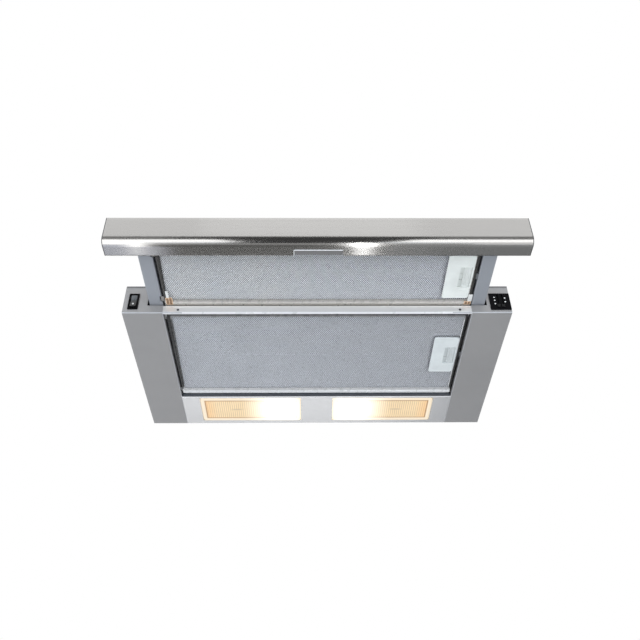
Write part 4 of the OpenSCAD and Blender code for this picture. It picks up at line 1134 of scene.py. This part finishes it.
class HOOD_OT_housings(HoodPart, bpy.types.Operator):
    """Details of the side housings and the lamp panel: seam strips, folded edges in painted
    highlights, the drawer's slot guides, and the dark strips of painted shade and the pale
    fold of a painted highlight ahead of the lamps"""
    bl_idname = "hood.housings"
    bl_label = "Housing details"

    def make(self, sizes, colours):
        seams, folds, guides = [], [], []
        near = span("front_crossbar")[1][0]
        # quarter-round folds along the front's lower edge and along the underside's inner edge, in
        # a lighter paint that paints their highlights
        section = np.concatenate([arc(1.0, 1.0, 1.25, 180, 270, 7), [(1.0, 0.4), (0.4, 1.0)]])
        for side, node in ((-1, "side_housing_left"), (1, "side_housing_right")):
            a, b = span(node)
            seams.append(pad(a[0] + 0.4, b[0] - 0.4, b[2] - 3.4, b[2] - 0.1, 0.8,
                             [(0.4, 0), (-0.2, 0), (-0.3, 0.15)], axis=1))
            folds.append(extrusion(section, np.linspace(a[0] + 0.3, b[0] - 0.3, 5), 0))
            inside = (section * (0.7, 0.7) + (near, 0)) * (side, 1)
            folds.append(extrusion(inside, np.linspace(a[1] + 0.5, b[1] - 1, 9), 1))
            slot = sorted((side * (near + 21.9), side * (near + 26.5)))
            guides.append(pad(*slot, 14, 47, 0.5, [(1.2, 0.3), (1.5, 0), (8, 0)], axis=1))
        piece("housing_seams", merged(*seams), finish("seam"), "frame")
        piece("housing_folds", merged(*folds), finish("edge"), "frame")
        a, b = span("lamp_panel")
        left, right, front, under = a[0] + 0.6, b[0] - 0.6, a[1], a[2]
        # dark strips ahead of the lamp panel, painted shade in the gap behind the fixed filter's
        # rim
        strip = pad(left, right, under + 1.4, under + 9.4, 0.4,
                    [(front - 0.1, 0), (front - 0.5, 0), (front - 0.6, 0.1)], axis=1)
        piece("panel_seal", strip, finish("gap_painted_shade"), "frame")
        lip = pad(left, right, front - 0.5, front + 1.6, 0.3,
                  [(under + 1.6, 0), (under - 0.05, 0), (under - 0.3, 0.25)])
        piece("panel_gap_shade_lip", lip, finish("gap_painted_shade"), "frame")
        # pale bead along the panel's front fold, a painted highlight
        fold = np.concatenate([arc(front + 2.8, 1.1, 1.3, 180, 270, 7),
                               [(front + 4.6, -0.2), (front + 5.2, 0.3), (front + 2.2, 0.9)]])
        piece("panel_fold", extrusion(fold, np.linspace(left, right, 9), 0), finish("panel_edge"),
              "frame")
        piece("slot_guides", merged(*guides), finish("black"), "frame")


class HOOD_OT_upper(HoodPart, bpy.types.Operator):
    """Details of the motor box: lapped flange and its screws, pressed beads, spot welds, and the
    outlet's ribs and ring"""
    bl_idname = "hood.upper"
    bl_label = "Motor box details"

    def gusset(self, centre, angle, r):
        """Triangular rib standing against a collar: an outline of radius and height, given its
        thickness along the tangent at the angle."""
        side = np.array([(r - 0.6, 1.8), (r + 7, 1.8), (r + 7, 2.8), (r + 1, 12), (r - 0.6, 12)])
        c, s = math.cos(angle), math.sin(angle)
        rows = [np.stack([side[:, 0] * c - t * s, side[:, 0] * s + t * c, side[:, 1]], -1)
                for t in (-0.9, 0, 0.9)]
        return rings(np.stack(rows) + centre)

    def top_plate(self, a, b):
        """Flange lapped over the box, the screws through it, and the beads pressed in the plate."""
        top = b[2]
        flange = []
        for out, rise in ((0.7, -13), (0.75, -12.6), (0.7, -0.9), (0.45, -0.2),
                          (-0.4, 0.1), (-0.4, -0.4), (0.02, -1), (0.02, -13)):
            outline = round_rect(a[0] - out, b[0] + out, a[1] - out, b[1] + out, 2.0, 6, 12)
            flange.append(placed(outline, top + rise, 2))
        piece("top_flange", doughnut(np.stack(flange)), finish("zinc"), "frame")
        heads = [screw_head((x, y, top - 7), 3.4, 1.5, 1, sign)
                 for y, sign in ((a[1] - 0.7, -1), (b[1] + 0.7, 1)) for x in (-225, -80, 80, 225)]
        heads += [screw_head((x, y, top - 7), 3.4, 1.5, 0, sign)
                  for x, sign in ((a[0] - 0.7, -1), (b[0] + 0.7, 1)) for y in (70, 250)]
        piece("top_screws", merged(*heads), finish("shaft"), "frame")
        r = 4.5
        dome = ((-0.3, 0), (0.2, 0.2), (0.8, 1.1), (1.15, 2.2), (1.25, 3.6))
        beads = [pad(x - r, x + r, 45, 275, r, [(top + h, i) for h, i in dome])
                 for x in (-150, -115, 115, 150, 190, 225)]
        piece("top_beads", merged(*beads), finish("zinc"), "frame")

    def welds(self, a, b):
        """Spot welds, round dimples with a raised edge, along the foot of the box and on the
        housings' tops, and the lapped seams down the rear corners."""
        dimple = [(3.4, 0.05), (3.1, -0.22), (2.5, -0.28), (1.7, -0.12), (0.3, -0.1)]

        def weld(x, y, z, axis, sign=1):
            return turned([(r, -sign * h) for r, h in dimple], (x, y, z), axis, 20)

        welds = [weld(x, y, 62, 1, sign) for y, sign in ((a[1], -1), (b[1], 1))
                 for x in range(-240, 241, 60)]
        welds += [weld(x, y, 62, 0, sign) for x, sign in ((a[0], -1), (b[0], 1))
                  for y in range(50, 291, 55)]
        welds += [weld(x, y, 55, 2) for x in (-283, 283) for y in range(45, 291, 60)]
        piece("spot_welds", merged(*welds), finish("paint"), "frame")
        levels = [(b[1] - 0.2, 0), (b[1] + 0.55, 0), (b[1] + 0.65, 0.15)]
        seams = [pad(*sorted((s * 240, s * 259.4)), 56, b[2] - 14, 0.6, levels, axis=1)
                 for s in (-1, 1)]
        piece("rear_laps", merged(*seams), finish("paint"), "frame")

    def outlet(self):
        """Ribs and ring of the duct's collar, and the screws of its flange."""
        low, high = span("outlet_collar")
        centre = np.array([0.0, (low[1] + high[1]) / 2, low[2]])
        r, screws_at = 60.0, 64.6
        ribs = [self.gusset(centre, math.radians(22.5 + 45 * k), r) for k in range(8)]
        profile = [(r - 0.4, 22.6), (r + 0.9, 23.0), (r + 1.3, 24.2), (r + 0.9, 25.4),
                   (r - 0.4, 25.8)]
        piece("outlet_ribs", merged(*ribs, pipe(profile, centre, 2, 96)), finish("collar"), "frame")
        heads = [screw_head(centre + (x, y, 2), 3.0, 1.4, 2, 1)
                 for x, y in arc(0, 0, screws_at, 45, 315, 4)]
        piece("outlet_screws", merged(*heads), finish("shaft"), "frame")

    def make(self, sizes, colours):
        a, b = span("top_plate")
        self.top_plate(a, b)
        self.welds(a, b)
        self.outlet()


class HOOD_OT_stage(HoodPart, bpy.types.Operator):
    """Floor, world, lamps, reflector cards and the camera"""
    bl_idname = "hood.stage"
    bl_label = "Studio"

    CAMERA_AT = (-0.0144, -1.0286, -0.8145)

    def make(self, sizes, colours):
        scene = bpy.context.scene
        scene.view_settings.view_transform = "Standard"
        self.world(scene)
        self.floor()
        self.cards()
        self.lamps()
        self.camera(scene)

    def world(self, scene):
        """Soft bluish light on the object, and plain white for camera, reflections and glass."""
        world = bpy.data.worlds.new("studio")
        scene.world = world
        world.use_nodes = True
        tree = world.node_tree
        tree.nodes.clear()
        path = tree.nodes.new("ShaderNodeLightPath")
        seen = path.outputs["Is Camera Ray"]
        for name in ("Is Glossy Ray", "Is Transmission Ray"):
            either = tree.nodes.new("ShaderNodeMath")
            either.operation = "MAXIMUM"
            tree.links.new(seen, either.inputs[0])
            tree.links.new(path.outputs[name], either.inputs[1])
            seen = either.outputs[0]
        soft, white = (tree.nodes.new("ShaderNodeBackground") for _ in range(2))
        soft.inputs["Color"].default_value = (0.94, 0.97, 1.0, 1)
        soft.inputs["Strength"].default_value = 0.83
        white.inputs["Color"].default_value = (1, 1, 1, 1)
        mix, out = tree.nodes.new("ShaderNodeMixShader"), tree.nodes.new("ShaderNodeOutputWorld")
        tree.links.new(seen, mix.inputs[0])
        tree.links.new(soft.outputs[0], mix.inputs[1])
        tree.links.new(white.outputs[0], mix.inputs[2])
        tree.links.new(mix.outputs[0], out.inputs[0])

    def flat(self, name, corners, material):
        """One face between corners given in metres."""
        mesh = bpy.data.meshes.new(name)
        mesh.from_pydata(corners, [], [tuple(range(len(corners)))])
        mesh.materials.append(material)
        thing = bpy.data.objects.new(name, mesh)
        bpy.context.scene.collection.objects.link(thing)
        return thing

    def floor(self):
        m = Nodes("floor_pale")
        tone = m.mix(m.between(m.noise(1.5), 0, 1), (0.8, 0.8, 0.8), (0.84, 0.84, 0.84))
        pale = m.done(tone, m.between(m.noise(4), 0.7, 0.8))
        self.flat("floor", [(-6, -6, -1.6), (6, -6, -1.6), (6, 6, -1.6), (-6, 6, -1.6)], pale)

    def card(self, name, corners, tone, colour=(1, 1, 1)):
        """Glowing card that only reflections see."""
        m = Nodes(name)
        glow = m.mix(m.between(m.noise(3), 0, 1), tint(colour, 0.95), colour)
        m.link(glow, m.shader.inputs["Emission Color"])
        m.shader.inputs["Emission Strength"].default_value = tone
        m.shader.inputs["Base Color"].default_value = (0, 0, 0, 1)
        m.shader.inputs["Specular IOR Level"].default_value = 0
        thing = self.flat(name, corners, m.material)
        thing.visible_camera = thing.visible_diffuse = thing.visible_shadow = False
        thing.visible_transmission = False

    def wall(self, name, x0, x1, z0, z1, tone, y):
        self.card(name, [(x0, y, z0), (x1, y, z0), (x1, y, z1), (x0, y, z1)], tone)

    def ground(self, name, x0, x1, y0, y1, tone, colour=(1, 1, 1)):
        z = -1.57
        self.card(name, [(x0, y0, z), (x1, y0, z), (x1, y1, z), (x0, y1, z)], tone, colour)

    def cards(self):
        """Cards for what the bright metal reflects: the dark of the room and the bright walls to
        both sides of it, the grey floor below, and the strips behind."""
        bottom, far, middle, near = -1.57, -3.3, -1.5, -1.49
        for name, x0, x1, tone in (("left", -7, -0.75, 0.24), ("middle", -0.75, 0.7, 0.1),
                                   ("right", 0.7, 7, 0.24)):
            self.wall(f"card_fold_{name}", x0, x1, -0.9, 2.5, tone, far)
        self.wall("card_sky", -0.8, 0.8, 2.8, 5.5, 1.2, far)
        self.wall("card_operator", -0.27, 0.3, -1.56, 0.3, 0.055, near)
        self.ground("card_operator_floor", -0.32, 0.26, near, -0.95, 0.04)
        self.ground("card_floor_front", -0.62, 0.56, -0.95, -0.35, 0.42)
        self.wall("card_wall_left", -3.6, -0.27, bottom, -0.33, 1.9, middle)
        self.ground("card_wall_floor_left", -3.6, -0.64, middle, -0.42, 1.9)
        self.wall("card_wall_right", 0.3, 3.6, bottom, -0.33, 1.9, middle)
        self.ground("card_wall_floor_right", 0.58, 3.6, middle, -0.42, 0.9)
        white = (1, 1, 1)
        for name, x0, x1, y0, y1, tone, colour in (
            ("below_left", -4, -0.6, -0.35, 1.35, 0.8, (0.84, 0.88, 1.0)),
            ("below", -0.6, 0.3, -0.35, 1.35, 0.15, (1.0, 1.0, 0.97)),
            ("below_right", 0.3, 4, -0.35, 1.35, 0.32, (0.96, 0.985, 1.0)),
            ("rear", -4, 4, 1.35, 1.8, 0.04, white),
            ("rear_strip", -4, 0.62, 1.95, 2.27, 2.2, white),
            ("rear_left", -4, -0.4, 2.27, 3.3, 0.5, white),
            ("rear_middle", -0.4, 0.4, 2.27, 3.3, 0.7, white),
            ("rear_right", 0.4, 4, 2.27, 3.3, 0.06, (0.9, 0.92, 1.0)),
            ("rear_corner", 0.62, 4, 1.95, 2.27, 0.06, white),
            ("rear_end", -4, 4, 3.3, 5.0, 0.1, white),
        ):
            self.ground(f"card_{name}", x0, x1, y0, y1, tone, colour)
        self.wall("card_rear_wall", -4, 4, bottom, 0.8, 0.06, 3.6)
        # narrow bright strips, one for each of the two glints that run down the handle, on the line
        # from the camera past the glint
        half, reach = 0.028, 1.075
        for side, glint, tone in (("right", 0.062, 6.5), ("left", -0.252, 2.6)):
            lean = (glint - self.CAMERA_AT[0]) / reach
            path = [(glint + lean * t, y)
                    for t, y in ((1.74, -1.18), (1.51, -0.42), (1.61, 0.24), (2.03, 1.05))]
            left = [(x - half, y, -1.56) for x, y in path]
            right = [(x + half, y, -1.56) for x, y in path[::-1]]
            self.card(f"card_glint_{side}", left + right, tone)

    def lamps(self):
        """Soft boxes that light the object and show in no reflection."""
        for name, place, toward, size, power, colour in (
            ("left", (-1.5, -1.6, -0.7), (0, -0.1, 0), (0.9, 1.2), 12, (0.86, 0.92, 1.0)),
            ("right", (1.6, -1.6, -0.7), (0, -0.1, 0), (1.0, 1.2), 12, (0.86, 0.92, 1.0)),
            ("top", (0.3, -1.2, 2.0), (0, 0, 0), (2.2, 2.2), 18, (1, 1, 1)),
            ("front", (0, -3.0, -0.03), (0, 0, -0.03), (2.4, 0.25), 9, (0.3, 0.65, 1.0)),
        ):
            light = bpy.data.lights.new(f"softbox_{name}", "AREA")
            light.shape, light.size, light.size_y = "RECTANGLE", size[0], size[1]
            light.energy, light.color = power, colour
            thing = bpy.data.objects.new(f"softbox_{name}", light)
            bpy.context.scene.collection.objects.link(thing)
            thing.location = place
            aim = Vector(toward) - Vector(place)
            thing.rotation_euler = aim.to_track_quat("-Z", "Y").to_euler()
            thing.visible_glossy = False

    def camera(self, scene):
        """Camera of the photo's view, placed by its pitch, yaw and roll in degrees."""
        data = bpy.data.cameras.new("camera")
        data.sensor_width, data.lens, data.shift_y = 36.0, 42.244, 0.05
        data.clip_start, data.clip_end = 0.01, 50
        camera = bpy.data.objects.new("camera", data)
        scene.collection.objects.link(camera)
        pitch, yaw, roll = (math.radians(v) for v in (38.327, 1.123, -0.796))
        level = Vector((math.sin(yaw), math.cos(yaw), 0))
        side = Vector((math.cos(yaw), -math.sin(yaw), 0))
        high = Vector((0, 0, 1))
        ahead = level * math.cos(pitch) + high * math.sin(pitch)
        above = high * math.cos(pitch) - level * math.sin(pitch)
        right = side * math.cos(roll) + above * math.sin(roll)
        up = above * math.cos(roll) - side * math.sin(roll)
        turn = Matrix((right, up, -ahead)).transposed()
        camera.matrix_world = Matrix.Translation(self.CAMERA_AT) @ turn.to_4x4()
        scene.camera = camera


PARTS = (
    HOOD_OT_stage, HOOD_OT_finishes, HOOD_OT_handle, HOOD_OT_arms, HOOD_OT_crossbar,
    HOOD_OT_filters, HOOD_OT_latches, HOOD_OT_lenses, HOOD_OT_controls, HOOD_OT_housings,
    HOOD_OT_upper,
)


class VIEW3D_PT_hood(bpy.types.Panel):
    """Lists the hood's pieces"""
    bl_label = "Range hood"
    bl_space_type = "VIEW_3D"
    bl_region_type = "UI"
    bl_category = "Hood"

    def draw(self, context):
        for group in (context.scene.hood_sizes, context.scene.hood_colours):
            for name in group.__annotations__:
                self.layout.prop(group, name)
        for part in PARTS:
            self.layout.operator(part.bl_idname)


CLASSES = (HoodColours, HoodSizes, *PARTS, VIEW3D_PT_hood)


def register():
    for item in CLASSES:
        bpy.utils.register_class(item)
    bpy.types.Scene.hood_colours = PointerProperty(type=HoodColours)
    bpy.types.Scene.hood_sizes = PointerProperty(type=HoodSizes)


def unregister():
    del bpy.types.Scene.hood_sizes, bpy.types.Scene.hood_colours
    for item in reversed(CLASSES):
        bpy.utils.unregister_class(item)


def main():
    register()
    for part in PARTS:
        group, name = part.bl_idname.split(".")
        getattr(getattr(bpy.ops, group), name)()


if __name__ == "__main__":
    main()
